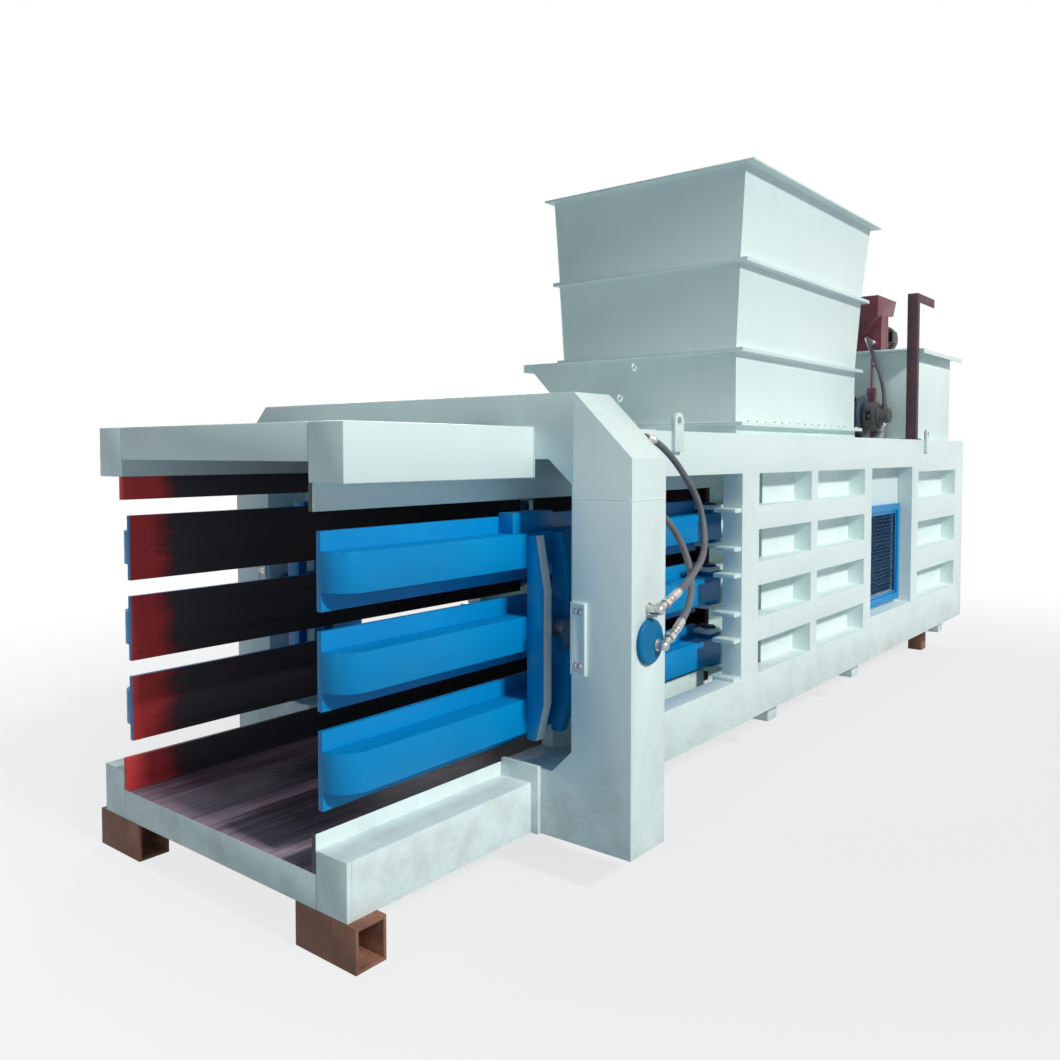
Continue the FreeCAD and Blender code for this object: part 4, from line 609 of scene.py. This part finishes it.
sketch = bmesh.new()
rows = islands("frame_bolts")
flange_bolts = [row for row in rows if row[0].z > 1.2]
half_pitch = Vector(((max(high.x for _, high in flange_bolts)
                      - min(high.x for _, high in flange_bolts)) / 14, 0, 0))
rows += [(low + half_pitch, high + half_pitch) for low, high in flange_bolts]
washer = 0.0022
for number, (low, high) in enumerate(rows):
    middle = (low + high) / 2
    thin = min(range(3), key=lambda axis: (high - low)[axis])
    axis = (-1, 0, 0) if thin == 0 else (0, 0, 1)
    seat = Vector((high.x, middle.y, middle.z) if thin == 0 else (middle.x, middle.y, low.z))
    across = (high - low).y * (1.0 if thin else 0.95)
    lathe(sketch, [(0, 0), (across * 0.82, 0), (across * 0.86, washer * 0.4),
                   (across * 0.84, washer), (0, washer)], seat, axis, steps=24)
    hexagon(sketch, seat + Vector(axis) * washer, axis, across * 0.96,
            (high - low)[thin] - washer - 0.002, twist=number * 0.7)
    lathe(sketch, [(0, 0), (across * 0.27, 0), (across * 0.27, 0.0016), (across * 0.22, 0.002),
                   (0, 0.002)],
          seat + Vector(axis) * ((high - low)[thin] - 0.002), axis, steps=16)
shown(sketch, "hex_bolts", "frame", [steel], ["frame_bolts"])

# The doors' hinge pins are turned bar with a domed head, a washer under it and a cross pin at the
# foot. They drop through the white hinge plates and the doors' knuckles, and are dipped in navy.
navy = enamel("navy_enamel", (0.020, 0.085, 0.22), (0.014, 0.055, 0.15), grime=0.1, shine=0.2)
sketch = bmesh.new()
for low, high in islands("door_hinge_pins"):
    middle = (low + high) / 2
    head, radius, tall = high.z - 0.012, 0.0249, high.z - low.z
    lathe(sketch, [(0, 0), (radius - 0.003, 0), (radius, 0.003), (radius, tall - 0.012)],
          (middle.x, middle.y, low.z), (0, 0, 1), steps=32)
    lathe(sketch, [(radius, 0), (0.039, 0), (0.0395, 0.001), (0.0395, 0.0035), (0.037, 0.0036),
                   (0.034, 0.0040), (0.034, 0.0085), (0.031, 0.0110), (0.022, 0.0120), (0, 0.0120)],
          (middle.x, middle.y, head), (0, 0, 1), steps=40)
    lathe(sketch, [(0, 0), (0.003, 0), (0.0035, 0.0005), (0.0035, 0.0665), (0.003, 0.067),
                   (0, 0.067)],
          (middle.x, middle.y - 0.0335, low.z + 0.005), (0, 1, 0), steps=12)
shown(sketch, "hinge_pins", "frame", [navy], ["door_hinge_pins"])

# Each port on the side cylinders is a hexagon body with a swivel arm, its union nut and the stub
# that the hose is pressed on. They are zinc-plated, with a thread relief by each hexagon.
sketch = bmesh.new()
cap_face, port_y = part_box("cylinder_cap_near")[0].y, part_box("port_fittings")[0].y + 0.0191
cylinder = (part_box("side_cylinder_near")[0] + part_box("side_cylinder_near")[1]) / 2
for side in (1, -1):
    for offset, lift, rise, seat in ((0.0, 0.113, 20, -1.130), (0.032, -0.015, 27, cap_face)):
        x, z = cylinder.x + offset, cylinder.z + lift
        out = (0, -side, 0)
        reach = abs(port_y) - abs(seat)
        lathe(sketch, [(0, 0), (0.020, 0), (0.0215, 0.0015), (0.0215, 0.004), (0.0145, 0.005),
                       (0.0145, 0.009)], (x, side * seat, z), out, steps=32)
        hexagon(sketch, (x, side * (seat - 0.008), z), out, 0.030, reach - 0.012)
        lathe(sketch, [(0, -0.016), (0.0115, -0.016), (0.016, -0.0125), (0.0172, -0.006),
                       (0.0172, 0.006), (0.016, 0.0125), (0.0115, 0.0165), (0, 0.0165)],
              (x, side * port_y, z), out, steps=32)
        along = Vector((math.cos(math.radians(rise)), 0, math.sin(math.radians(rise))))
        root = Vector((x, side * port_y, z))
        lathe(sketch, [(0, 0.010), (0.0125, 0.010), (0.0125, 0.036), (0.0095, 0.038),
                       (0.0095, 0.044)], root, along, steps=28)
        hexagon(sketch, root + along * 0.042, along, 0.0325, 0.024)
        lathe(sketch, [(0.0095, 0.064), (0.0095, 0.070), (0.0145, 0.071), (0.0155, 0.073),
                       (0.0155, 0.077), (0.0125, 0.078), (0.0125, 0.094), (0, 0.094)],
              root, along, steps=28)
shown(sketch, "port_unions", "frame", [steel], ["port_fittings"])


# The hoses end in pressed ferrules, zinc plated, with the press's rings round them. Each follows
# the first stretch of its hose and rides with it on the frame.
def ferrule(name, hose_piece, at_start, radius, long=0.052):
    """A crimped sleeve over a hose's end."""
    spline = hose_piece.data.splines[0]
    row = list(spline.points) if at_start else list(spline.points)[::-1]
    first, second = (Vector(point.co[:3]) for point in row[:2])
    along = (second - first).normalized()
    sketch = bmesh.new()
    profile = [(0.8, -0.004), (1.16, -0.003), (1.22, 0.0), (1.22, 0.007)]
    for groove in (0.009, 0.021):
        profile += [(1.10, groove), (1.10, groove + 0.003), (1.21, groove + 0.005),
                    (1.21, groove + 0.010)]
    profile += [(1.10, 0.033), (1.10, 0.036), (1.20, 0.038), (1.20, long - 0.004), (1.14, long),
                (0.9, long)]
    lathe(sketch, [(radius * share, height) for share, height in profile], first, along, steps=36)
    shown(sketch, name, "frame", [steel])


for name, key, radius in (("upper", "hose_upper", THIN_HOSE / 2),
                          ("lower", "hose_lower", THIN_HOSE / 2),
                          ("power", "power_hose", THICK_HOSE / 2)):
    cord = bpy.data.objects[key + "_rubber"]
    ferrule(name + "_ferrule_start", cord, True, radius)
    ferrule(name + "_ferrule_end", cord, False, radius)


# Weld beads run where the frame's plates meet. They are laid in short ripples and painted over
# with the enamel.
def weld(sketch, points, radius=0.004, pitch=0.007):
    """A rippled bead along straight runs."""
    for start, end in zip(points, points[1:]):
        start, end = Vector(start), Vector(end)
        count = max(2, int((end - start).length / pitch))
        step = (end - start).length / count
        profile = [(0, 0)]
        for number in range(count):
            swell = radius * (1.0 + 0.06 * math.sin(number * 2.3))
            profile += [(radius * 0.86, step * number + step * 0.08),
                        (swell, step * number + step * 0.6)]
        profile.append((0, step * count))
        lathe(sketch, profile, start, end - start, steps=7)


def on_side(node, side):
    """The corners of the node's solids on one side of the machine."""
    return [row for row in islands(node) if (row[0].y + row[1].y) * side > 0]


sketch = bmesh.new()
beam_low, beam_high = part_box("chute_top_beam_near")
portal_high, wall_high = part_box("portal_frame")[1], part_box("side_wall_near")[1]
chute_half, side_top, liner_half, bead_end = -beam_low.y, foot + 0.185, 0.57, 0.575
column_inner, column_outer, cheek, seam = 0.885, 1.130, 0.94, 1.3655
for side in (-1, 1):
    weld(sketch, [(portal_x, side * liner_half, beam_low.z),
                  (portal_x, side * chute_half, beam_low.z),
                  (portal_x, side * chute_half, beam_high.z)])
    weld(sketch, [(portal_x, side * chute_half, foot), (portal_x, side * chute_half, side_top),
                  (portal_x, side * bead_end, side_top)])
    weld(sketch, [(beam_low.x + 0.02, side * chute_half, side_top),
                  (beam_low.x + 0.02, side * chute_half, foot + 0.004)], 0.003)
    weld(sketch, [(portal_high.x, side * cheek, 0.256), (portal_high.x, side * cheek, 1.610)])
    weld(sketch, [(portal_x - 0.0005, side * column_inner, seam),
                  (portal_x - 0.0005, side * (column_outer - 0.004), seam)], 0.0022, 0.005)
    weld(sketch, [(portal_x + 0.004, side * column_outer, seam),
                  (portal_high.x - 0.004, side * column_outer, seam)], 0.0022, 0.005)
    for low, high in on_side("hinge_plates", side):
        edge = side * max(abs(low.y), abs(high.y))
        for level in (low.z, high.z):
            weld(sketch, [(high.x, edge, level), (high.x, side * bead_end, level)], 0.003)
    for low, high in on_side("lifting_lugs", side):
        wall = side * 0.867
        weld(sketch, [(low.x, wall, wall_high.z), (low.x, wall, low.z),
                      (high.x, wall, low.z), (high.x, wall, wall_high.z)], 0.0035)
    for low, high in on_side("keeper_plates", side):
        weld(sketch, [(portal_x, low.y, low.z), (portal_x, high.y, low.z),
                      (portal_x, high.y, high.z), (portal_x, low.y, high.z),
                      (portal_x, low.y, low.z)], 0.003)
weld(sketch, [(portal_x, -chute_half, beam_high.z), (portal_x, chute_half, beam_high.z)])
shown(sketch, "frame_welds", "frame", [mint], smooth_below=50)

# The hopper's tiers are folded from four sheets each, so a ground weld runs down each corner, and
# stitches hold the flanges.
sketch = bmesh.new()
neck_half, neck_front, neck_back = 0.563, 0.693, 1.053
flange, stitches, thin_bead = 0.010, 9, 0.0022
for node, low_half, high_half, front, rise, back, fall in (
        ("hopper_middle", neck_half, 0.588, neck_front, 0.010, neck_back, 0.030),
        ("hopper_upper", 0.588, 0.620, 0.703, 0.010, 1.083, 0.070)):
    low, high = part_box(node)[0].z + flange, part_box(node)[1].z - flange
    for side in (-1, 1):
        weld(sketch, [(-front, side * low_half, low), (-front - rise, side * high_half, high)],
             thin_bead)
        weld(sketch, [(back, side * low_half, low), (back + fall, side * high_half, high)],
             thin_bead)
    for number in range(stitches):
        x = -front + (front + back) * (number + 0.5) / stitches
        for side in (-1, 1):
            weld(sketch, [(x - 0.03, side * (high_half + 0.0005), high),
                          (x + 0.03, side * (high_half + 0.0005), high)], 0.0028)
low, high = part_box("hopper_lower")[0].z + flange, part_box("hopper_lower")[1].z - flange
for x in (-neck_front, neck_back):
    weld(sketch, [(x, -neck_half, low), (x, -neck_half, high)], thin_bead)
shown(sketch, "hopper_welds", "frame", [mint], smooth_below=50)


# The service hatch's panel is woven wire in dark blue, crimped over and under at each crossing. A
# flat blue strip clamps it to the hatch's frame all round.
def block(sketch, low, high, ease=0.002, matrix=None):
    """A box with eased edges between two opposite corners."""
    low, high = (Vector([pick(pair) for pair in zip(low, high)]) for pick in (min, max))
    made = bmesh.ops.create_cube(sketch, size=1.0)["verts"]
    bmesh.ops.scale(sketch, vec=high - low, verts=made)
    bmesh.ops.translate(sketch, vec=(low + high) / 2, verts=made)
    if matrix:
        bmesh.ops.transform(sketch, matrix=matrix, verts=made)
    edges = once(edge for vert in made for edge in vert.link_edges)
    bmesh.ops.bevel(sketch, geom=edges, offset=ease, segments=2, profile=0.5, affect="EDGES",
                    material=-1)


sketch = bmesh.new()
mesh_low, mesh_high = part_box("mesh_panel")
mesh_y, wire, crimp = (mesh_low.y + mesh_high.y) / 2, 0.0021, 0.0019
across, upright = mesh_high.x - mesh_low.x, mesh_high.z - mesh_low.z
columns, rows = 27, 23
for number in range(columns + rows):
    standing = number < columns
    place_in_row = (number + 0.5) / columns if standing else (number - columns + 0.5) / rows
    long = upright if standing else across
    crossings = rows if standing else columns
    points = []
    for step in range(crossings * 2 + 1):
        along = step / (crossings * 2) * long
        turn = math.pi * step / 2 + math.pi * (number % 2) + (0 if standing else math.pi)
        wave = crimp * math.sin(turn)
        points.append((mesh_low.x + place_in_row * across, mesh_y + wave, mesh_low.z + along)
                      if standing else
                      (mesh_low.x + along, mesh_y + wave, mesh_low.z + place_in_row * upright))
    ring = bmesh.ops.create_circle(sketch, segments=6, radius=wire)["verts"]
    axis = (0, 0, 1) if standing else (1, 0, 0)
    bmesh.ops.transform(sketch, matrix=stand(points[0], axis), verts=ring)
    edges = once(edge for vert in ring for edge in vert.link_edges)
    for before, after in zip(points, points[1:]):
        made = bmesh.ops.extrude_edge_only(sketch, edges=edges)["geom"]
        verts = [item for item in made if isinstance(item, bmesh.types.BMVert)]
        edges = [item for item in made if isinstance(item, bmesh.types.BMEdge)
                 and all(vert in verts for vert in item.verts)]
        bmesh.ops.translate(sketch, vec=Vector(after) - Vector(before), verts=verts)
bmesh.ops.recalc_face_normals(sketch, faces=sketch.faces)
shown(sketch, "hatch_wire", "mesh_hatch", [navy], ["mesh_panel"], smooth_below=70)
softened("mesh_door_hinges", 0.0008, navy)
sketch = bmesh.new()
strip, lap, front, back = 0.020, 0.002, mesh_y - 0.0065, mesh_y - 0.0032
for edge, inward in ((mesh_low.x, strip), (mesh_high.x, -strip)):
    block(sketch, (edge - math.copysign(lap, inward), front, mesh_low.z - lap),
          (edge + inward, back, mesh_high.z + lap), 0.001)
for edge, inward in ((mesh_low.z, strip), (mesh_high.z, -strip)):
    block(sketch, (mesh_low.x + strip, front, edge - math.copysign(lap, inward)),
          (mesh_high.x - strip, back, edge + inward), 0.001)
shown(sketch, "hatch_clamping_strip", "mesh_hatch", [blue])

# Small shelf plates carry the line of each hinge plate out to the window post. They are welded to
# the post's face in the hinge bay and painted with it.
sketch = bmesh.new()
post_x, shelf_inner, shelf_outer = -1.224, 0.752, 0.862
for plate_low, plate_high in islands("hinge_plates"):
    side = 1 if plate_low.y > 0 else -1
    block(sketch, (post_x - 0.066, side * shelf_inner, plate_low.z),
          (post_x + 0.0005, side * shelf_outer, plate_high.z), 0.002)
shown(sketch, "hinge_bay_shelves", "frame", [mint])

# The drive motor is a finned cast body with its terminal box on top, end shields bolted on, a
# sheet fan cowl with a slotted grille, and feet. It is sprayed blue-grey.
def fins(sketch, count, centre, axis, turn, bare, low, high, ease):
    """Cooling fins round an axis, left out where a box or foot stands between bare angles."""
    for number in range(count):
        angle = math.tau * (number + 0.5) / count
        if not any(start < math.degrees(angle) < end for start, end in bare):
            around = Matrix.Translation(centre) @ Matrix.Rotation(turn * angle, 4, axis)
            block(sketch, low, high, ease, around)


motor_grey = enamel("motor_enamel", (0.036, 0.065, 0.105), (0.026, 0.046, 0.076), grime=0.1)
sketch = bmesh.new()
motor_low, motor_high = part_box("drive_motor")
motor_x, motor_z = 1.305, 1.780
front, back = motor_low.y, motor_high.y
long = back - front
lathe(sketch, [(0.022, 0.0), (0.060, 0.0), (0.062, 0.004), (0.118, 0.010), (0.132, 0.016),
               (0.136, 0.022), (0.136, 0.040), (0.122, 0.046), (0.120, long - 0.100),
               (0.134, long - 0.096), (0.134, long - 0.082), (0.0, long - 0.082)],
      (motor_x, front, motor_z), (0, 1, 0), steps=64)
fins(sketch, 44, (motor_x, 0, motor_z), "Y", -1, ((62, 118), (240, 300)),
     (0.116, front + 0.048, -0.0018), (0.148, back - 0.102, 0.0018), 0.0008)
lathe(sketch, [(0.128, -0.008), (0.147, -0.008), (0.149, -0.004), (0.149, 0.058), (0.146, 0.070),
               (0.136, 0.0785), (0.124, 0.080), (0.120, 0.0795), (0.118, 0.074), (0.128, 0.066),
               (0.1455, 0.056), (0.1455, -0.008)],
      (motor_x, back - 0.080, motor_z), (0, 1, 0), steps=64)
for number in range(7):
    radius = 0.018 + number * 0.0165
    lathe(sketch, [(radius - 0.0035, 0), (radius, -0.002), (radius + 0.0035, 0),
                   (radius + 0.0035, 0.002), (radius - 0.0035, 0.002), (radius - 0.0035, 0)],
          (motor_x, back - 0.004, motor_z), (0, 1, 0), steps=48)
spoke = 0.124
for number in range(4):
    around = (Matrix.Translation((motor_x, back - 0.005, motor_z))
              @ Matrix.Rotation(math.pi / 4 * (2 * number + 1), 4, "Y"))
    block(sketch, (0.0, -0.0015, -0.003), (spoke, 0.0015, 0.003), 0.0008, around)
    spot = around @ Vector((spoke, 0, 0))
    hexagon(sketch, (spot.x, front + 0.022, spot.z), (0, -1, 0), 0.014, 0.008)
top = motor_z + 0.110
block(sketch, (motor_x - 0.060, front + 0.120, top),
      (motor_x + 0.060, front + 0.260, top + 0.058), 0.005)
block(sketch, (motor_x - 0.064, front + 0.116, top + 0.0575),
      (motor_x + 0.064, front + 0.264, top + 0.073), 0.005)
for number in range(4):
    x = motor_x + (0.052 if number % 2 else -0.052)
    y = front + (0.128 if number < 2 else 0.252)
    lathe(sketch, [(0, 0), (0.005, 0), (0.005, 0.0022), (0.003, 0.0034), (0, 0.0034)],
          (x, y, top + 0.0728), (0, 0, 1), steps=14)
for shift in (0.155, 0.222):
    hexagon(sketch, (motor_x - 0.058, front + shift, top + 0.030), (-1, 0, 0), 0.030, 0.012)
    lathe(sketch, [(0.0, 0.0), (0.0125, 0.0), (0.0125, 0.010), (0.010, 0.016), (0.006, 0.017),
                   (0, 0.017)], (motor_x - 0.070, front + shift, top + 0.030), (-1, 0, 0), steps=20)
lathe(sketch, [(0.012, -0.004), (0.016, 0), (0.012, 0.004), (0.008, 0), (0.012, -0.004)],
      (motor_x, front + 0.320, top + 0.038), (0, 1, 0), steps=28)
lathe(sketch, [(0, 0), (0.012, 0), (0.012, 0.008), (0.007, 0.014), (0, 0.014)],
      (motor_x, front + 0.320, top + 0.008), (0, 0, 1), steps=20)
for start in (front + 0.080, back - 0.160):
    block(sketch, (motor_x - 0.112, start, wall_high.z + 0.020),
          (motor_x + 0.112, start + 0.040, motor_z - 0.085), 0.004)
    for side in (-1, 1):
        block(sketch, (motor_x + side * 0.092 - 0.034, start - 0.012, wall_high.z + 0.018),
              (motor_x + side * 0.092 + 0.034, start + 0.052, wall_high.z + 0.036), 0.004)
        hexagon(sketch, (motor_x + side * 0.108, start + 0.020, wall_high.z + 0.036), (0, 0, 1),
                0.018, 0.009)
for side in (-1, 1):
    block(sketch, (motor_x + side * 0.095 - 0.035, front + 0.060, wall_high.z),
          (motor_x + side * 0.095 + 0.035, back - 0.100, wall_high.z + 0.022), 0.002)
shown(sketch, "drive_motor_body", "frame", [motor_grey], ["drive_motor"])

# The valve block is a drilled steel manifold with two solenoid coils, their plugs, socket screws
# and the adapter that takes the cooler's hose.
sketch = bmesh.new()
valve_low, valve_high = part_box("valve_block")
block(sketch, valve_low, (valve_high.x, valve_high.y, valve_low.z + 0.060), 0.003)
block(sketch, (valve_low.x + 0.004, valve_low.y + 0.006, valve_low.z + 0.060),
      (valve_high.x - 0.004, valve_high.y - 0.006, valve_low.z + 0.095), 0.003)
for x in (valve_low.x + 0.014, valve_high.x - 0.014):
    for y in (valve_low.y + 0.014, valve_low.y + 0.040, valve_high.y - 0.014):
        lathe(sketch, [(0, 0), (0.0055, 0), (0.006, 0.0006), (0.006, 0.005), (0.0055, 0.006),
                       (0.003, 0.006), (0.003, 0.003), (0, 0.003)],
              (x, y, valve_low.z + 0.0945), (0, 0, 1), steps=16)
stub = (valve_low.x + 0.052, valve_low.y + 0.020, valve_low.z + 0.095)
hexagon(sketch, stub, (0, 0, 1), 0.034, 0.020)
lathe(sketch, [(0.0, 0), (0.0125, 0), (0.0125, 0.020), (0.0, 0.020)],
      (stub[0], stub[1], stub[2] + 0.019), (0, 0, 1), steps=24)
hexagon(sketch, (stub[0], stub[1], stub[2] + 0.036), (0, 0, 1), 0.036, 0.026)
shown(sketch, "valve_manifold", "frame", [steel], ["valve_block"])
black = enamel("black_enamel", (0.022, 0.022, 0.026), (0.012, 0.012, 0.014), grime=0.0)
sketch = bmesh.new()
for start in (0.020, 0.058):
    x, y = valve_low.x + start, valve_low.y + 0.055
    lathe(sketch, [(0, 0), (0.0150, 0), (0.0160, 0.002), (0.0160, 0.034), (0.0150, 0.036),
                   (0.009, 0.036), (0.009, 0.044), (0.007, 0.046), (0, 0.046)],
          (x, y, valve_low.z + 0.095), (0, 0, 1), steps=32)
    block(sketch, (x - 0.009, y + 0.010, valve_low.z + 0.105),
          (x + 0.009, y + 0.0245, valve_low.z + 0.128), 0.002)
shown(sketch, "valve_coils", "frame", [black])

# The oil cooler: a maroon bar-and-plate core under a leaning sheet hood, with stacked fins on
# both faces, and a round wire guard behind the fan.
maroon = enamel("maroon_enamel", (0.27, 0.080, 0.105), (0.13, 0.034, 0.050), gloss=0.34, grime=0.3,
                shine=0.3)
# A paler maroon covers the fins and the return line, and is a painted sky reflection on the hood's
# slanted front faces.
pale_maroon_sheen = enamel("maroon_painted_sheen", (0.46, 0.22, 0.26), (0.27, 0.09, 0.12), gloss=0.45, grime=0.3,
               shine=0.3)
softened("oil_cooler", 0.003, maroon, pale_maroon_sheen,
         lambda face: face.normal.x < -0.3 and abs(face.normal.z) > 0.15)
cooler_low, cooler_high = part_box("oil_cooler")
sketch = bmesh.new()
core_front, core_back = cooler_low.x + 0.080, cooler_low.x + 0.230
fin_count, fin_pitch = 26, 0.0108
for number in range(fin_count):
    level = cooler_low.z + 0.018 + number * fin_pitch
    for side, sense in ((cooler_low.y, -1), (cooler_high.y, 1)):
        block(sketch, (core_front + 0.012, side - sense * 0.001, level),
              (core_back - 0.012, side + sense * 0.004, level + 0.0040), 0.0008)
for side, sense in ((cooler_low.y, -1), (cooler_high.y, 1)):
    for x in (core_front + 0.006, core_back - 0.006):
        block(sketch, (x - 0.006, side, cooler_low.z + 0.004),
              (x + 0.006, side + sense * 0.006, cooler_low.z + 0.306), 0.0015)
shown(sketch, "cooler_fins", "frame", [pale_maroon_sheen])
fan_x = cooler_low.x + 0.230
fan_y, fan_z = (cooler_low.y + cooler_high.y) / 2, cooler_low.z + 0.170
softened("return_line", 0.0015, pale_maroon_sheen)

# The cooler's fan has six pitched blades on a turned hub, in black. The guard behind it is welded
# wire rings on four spokes.
sketch = bmesh.new()
lathe(sketch, [(0.0095, 0.0), (0.030, 0.0), (0.034, 0.004), (0.034, 0.032), (0.030, 0.036),
               (0.0095, 0.036)], (fan_x + 0.004, fan_y, fan_z), (1, 0, 0), steps=40)
blades, thickest = 6, 0.0165
for number in range(blades):
    made = bmesh.ops.create_grid(sketch, x_segments=10, y_segments=5, size=0.5)["verts"]
    for vert in made:
        out, wide = vert.co.x + 0.5, vert.co.y
        radius = 0.031 + out * 0.087
        pitch = math.radians(56 - 26 * out)
        chord = 0.046 + 0.014 * math.sin(out * math.pi * 0.8)
        bow = 0.004 * (1 - (2 * wide) ** 2)
        vert.co = Vector((-wide * chord * math.cos(pitch) + bow * math.sin(pitch),
                          wide * chord * math.sin(pitch) + bow * math.cos(pitch), radius))
        vert.co.x = max(-thickest, min(thickest, vert.co.x))
    faces = once(face for vert in made for face in vert.link_faces)
    thick = bmesh.ops.solidify(sketch, geom=faces, thickness=0.0022)["geom"]
    verts = once([*made, *(item for item in thick if isinstance(item, bmesh.types.BMVert))])
    turn = (Matrix.Translation((fan_x + 0.022, fan_y, fan_z))
            @ Matrix.Rotation(math.tau * number / blades, 4, "X"))
    bmesh.ops.transform(sketch, matrix=turn, verts=verts)
bmesh.ops.recalc_face_normals(sketch, faces=sketch.faces)
shown(sketch, "fan_wheel", "fan", [black], ["cooler_fan"], smooth_below=40)
sketch = bmesh.new()
for radius in [0.020 + number * 0.016 for number in range(7)] + [0.122]:
    lathe(sketch, [(radius - 0.0015, 0), (radius, -0.0015), (radius + 0.0015, 0), (radius, 0.0015),
                   (radius - 0.0015, 0)], (fan_x + 0.0475, fan_y, fan_z), (1, 0, 0), steps=48)
for number in range(4):
    around = (Matrix.Translation((fan_x + 0.0500, fan_y, fan_z))
              @ Matrix.Rotation(math.pi / 4 + math.pi / 2 * number, 4, "X"))
    block(sketch, (-0.0015, -0.0025, 0.018), (0.0015, 0.0025, 0.136), 0.0006, around)
shown(sketch, "fan_guard", "frame", [black])

# The fan's motor is a small black finned motor on a pressed foot, with its own cowl and box.
sketch = bmesh.new()
body_x, tail_x = fan_x + 0.058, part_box("fan_motor")[1].x
long = tail_x - body_x
lathe(sketch, [(0.0, 0.0), (0.030, 0.0), (0.034, 0.004), (0.094, 0.008), (0.100, 0.014),
               (0.100, long - 0.085), (0.112, long - 0.083), (0.1145, long - 0.078),
               (0.1145, long - 0.012), (0.108, long - 0.003), (0.100, long), (0.0, long)],
      (body_x, fan_y, fan_z), (1, 0, 0), steps=56)
fins(sketch, 36, (0, fan_y, fan_z), "X", 1, ((245, 295),), (body_x + 0.018, 0.096, -0.0015),
     (tail_x - 0.088, 0.1145, 0.0015), 0.0007)
for number in range(6):
    radius = 0.016 + number * 0.015
    lathe(sketch, [(radius - 0.003, 0), (radius - 0.003, 0.0012), (radius + 0.003, 0.0012),
                   (radius + 0.003, 0), (radius - 0.003, 0)],
          (tail_x - 0.0012, fan_y, fan_z), (1, 0, 0), steps=40)
lathe(sketch, [(0.0, 0.0), (0.0085, 0.0), (0.0085, 0.070), (0.0, 0.070)],
      (fan_x + 0.006, fan_y, fan_z), (1, 0, 0), steps=24)
foot_x = fan_x + 0.140
block(sketch, (foot_x, fan_y - 0.070, cooler_low.z),
      (foot_x + 0.150, fan_y + 0.070, cooler_low.z + 0.010), 0.003)
for side in (-1, 1):
    block(sketch, (foot_x + 0.010, fan_y + side * 0.050 - 0.006, cooler_low.z + 0.008),
          (foot_x + 0.140, fan_y + side * 0.050 + 0.006, cooler_low.z + 0.090), 0.002)
    for x in (foot_x + 0.020, foot_x + 0.130):
        hexagon(sketch, (x, fan_y + side * 0.062, cooler_low.z + 0.0095), (0, 0, 1), 0.013, 0.007)
box_y = fan_y - 0.145
block(sketch, (foot_x, box_y, fan_z - 0.040), (foot_x + 0.110, fan_y - 0.090, fan_z + 0.040), 0.005)
block(sketch, (foot_x - 0.003, box_y + 0.0005, fan_z - 0.043),
      (foot_x + 0.113, box_y + 0.014, fan_z + 0.043), 0.004)
shown(sketch, "fan_motor_body", "frame", [black], ["fan_motor"])

# Two small rings, one above the other, are welded to the hopper's front on turned feet. They are
# painted with the hopper.
sketch = bmesh.new()
for y, z in ((0.055, 2.006), (0.150, 1.835)):
    lathe(sketch, [(0.018, -0.005), (0.023, 0), (0.018, 0.005), (0.013, 0), (0.018, -0.005)],
          (-0.7165, y, z), (0, 1, 0), steps=28)
    lathe(sketch, [(0, 0), (0.016, 0), (0.016, 0.003), (0.008, 0.006), (0, 0.006)],
          (-0.6925, y, z), (-1, 0, 0), steps=20)
shown(sketch, "hopper_eyes", "frame", [mint])
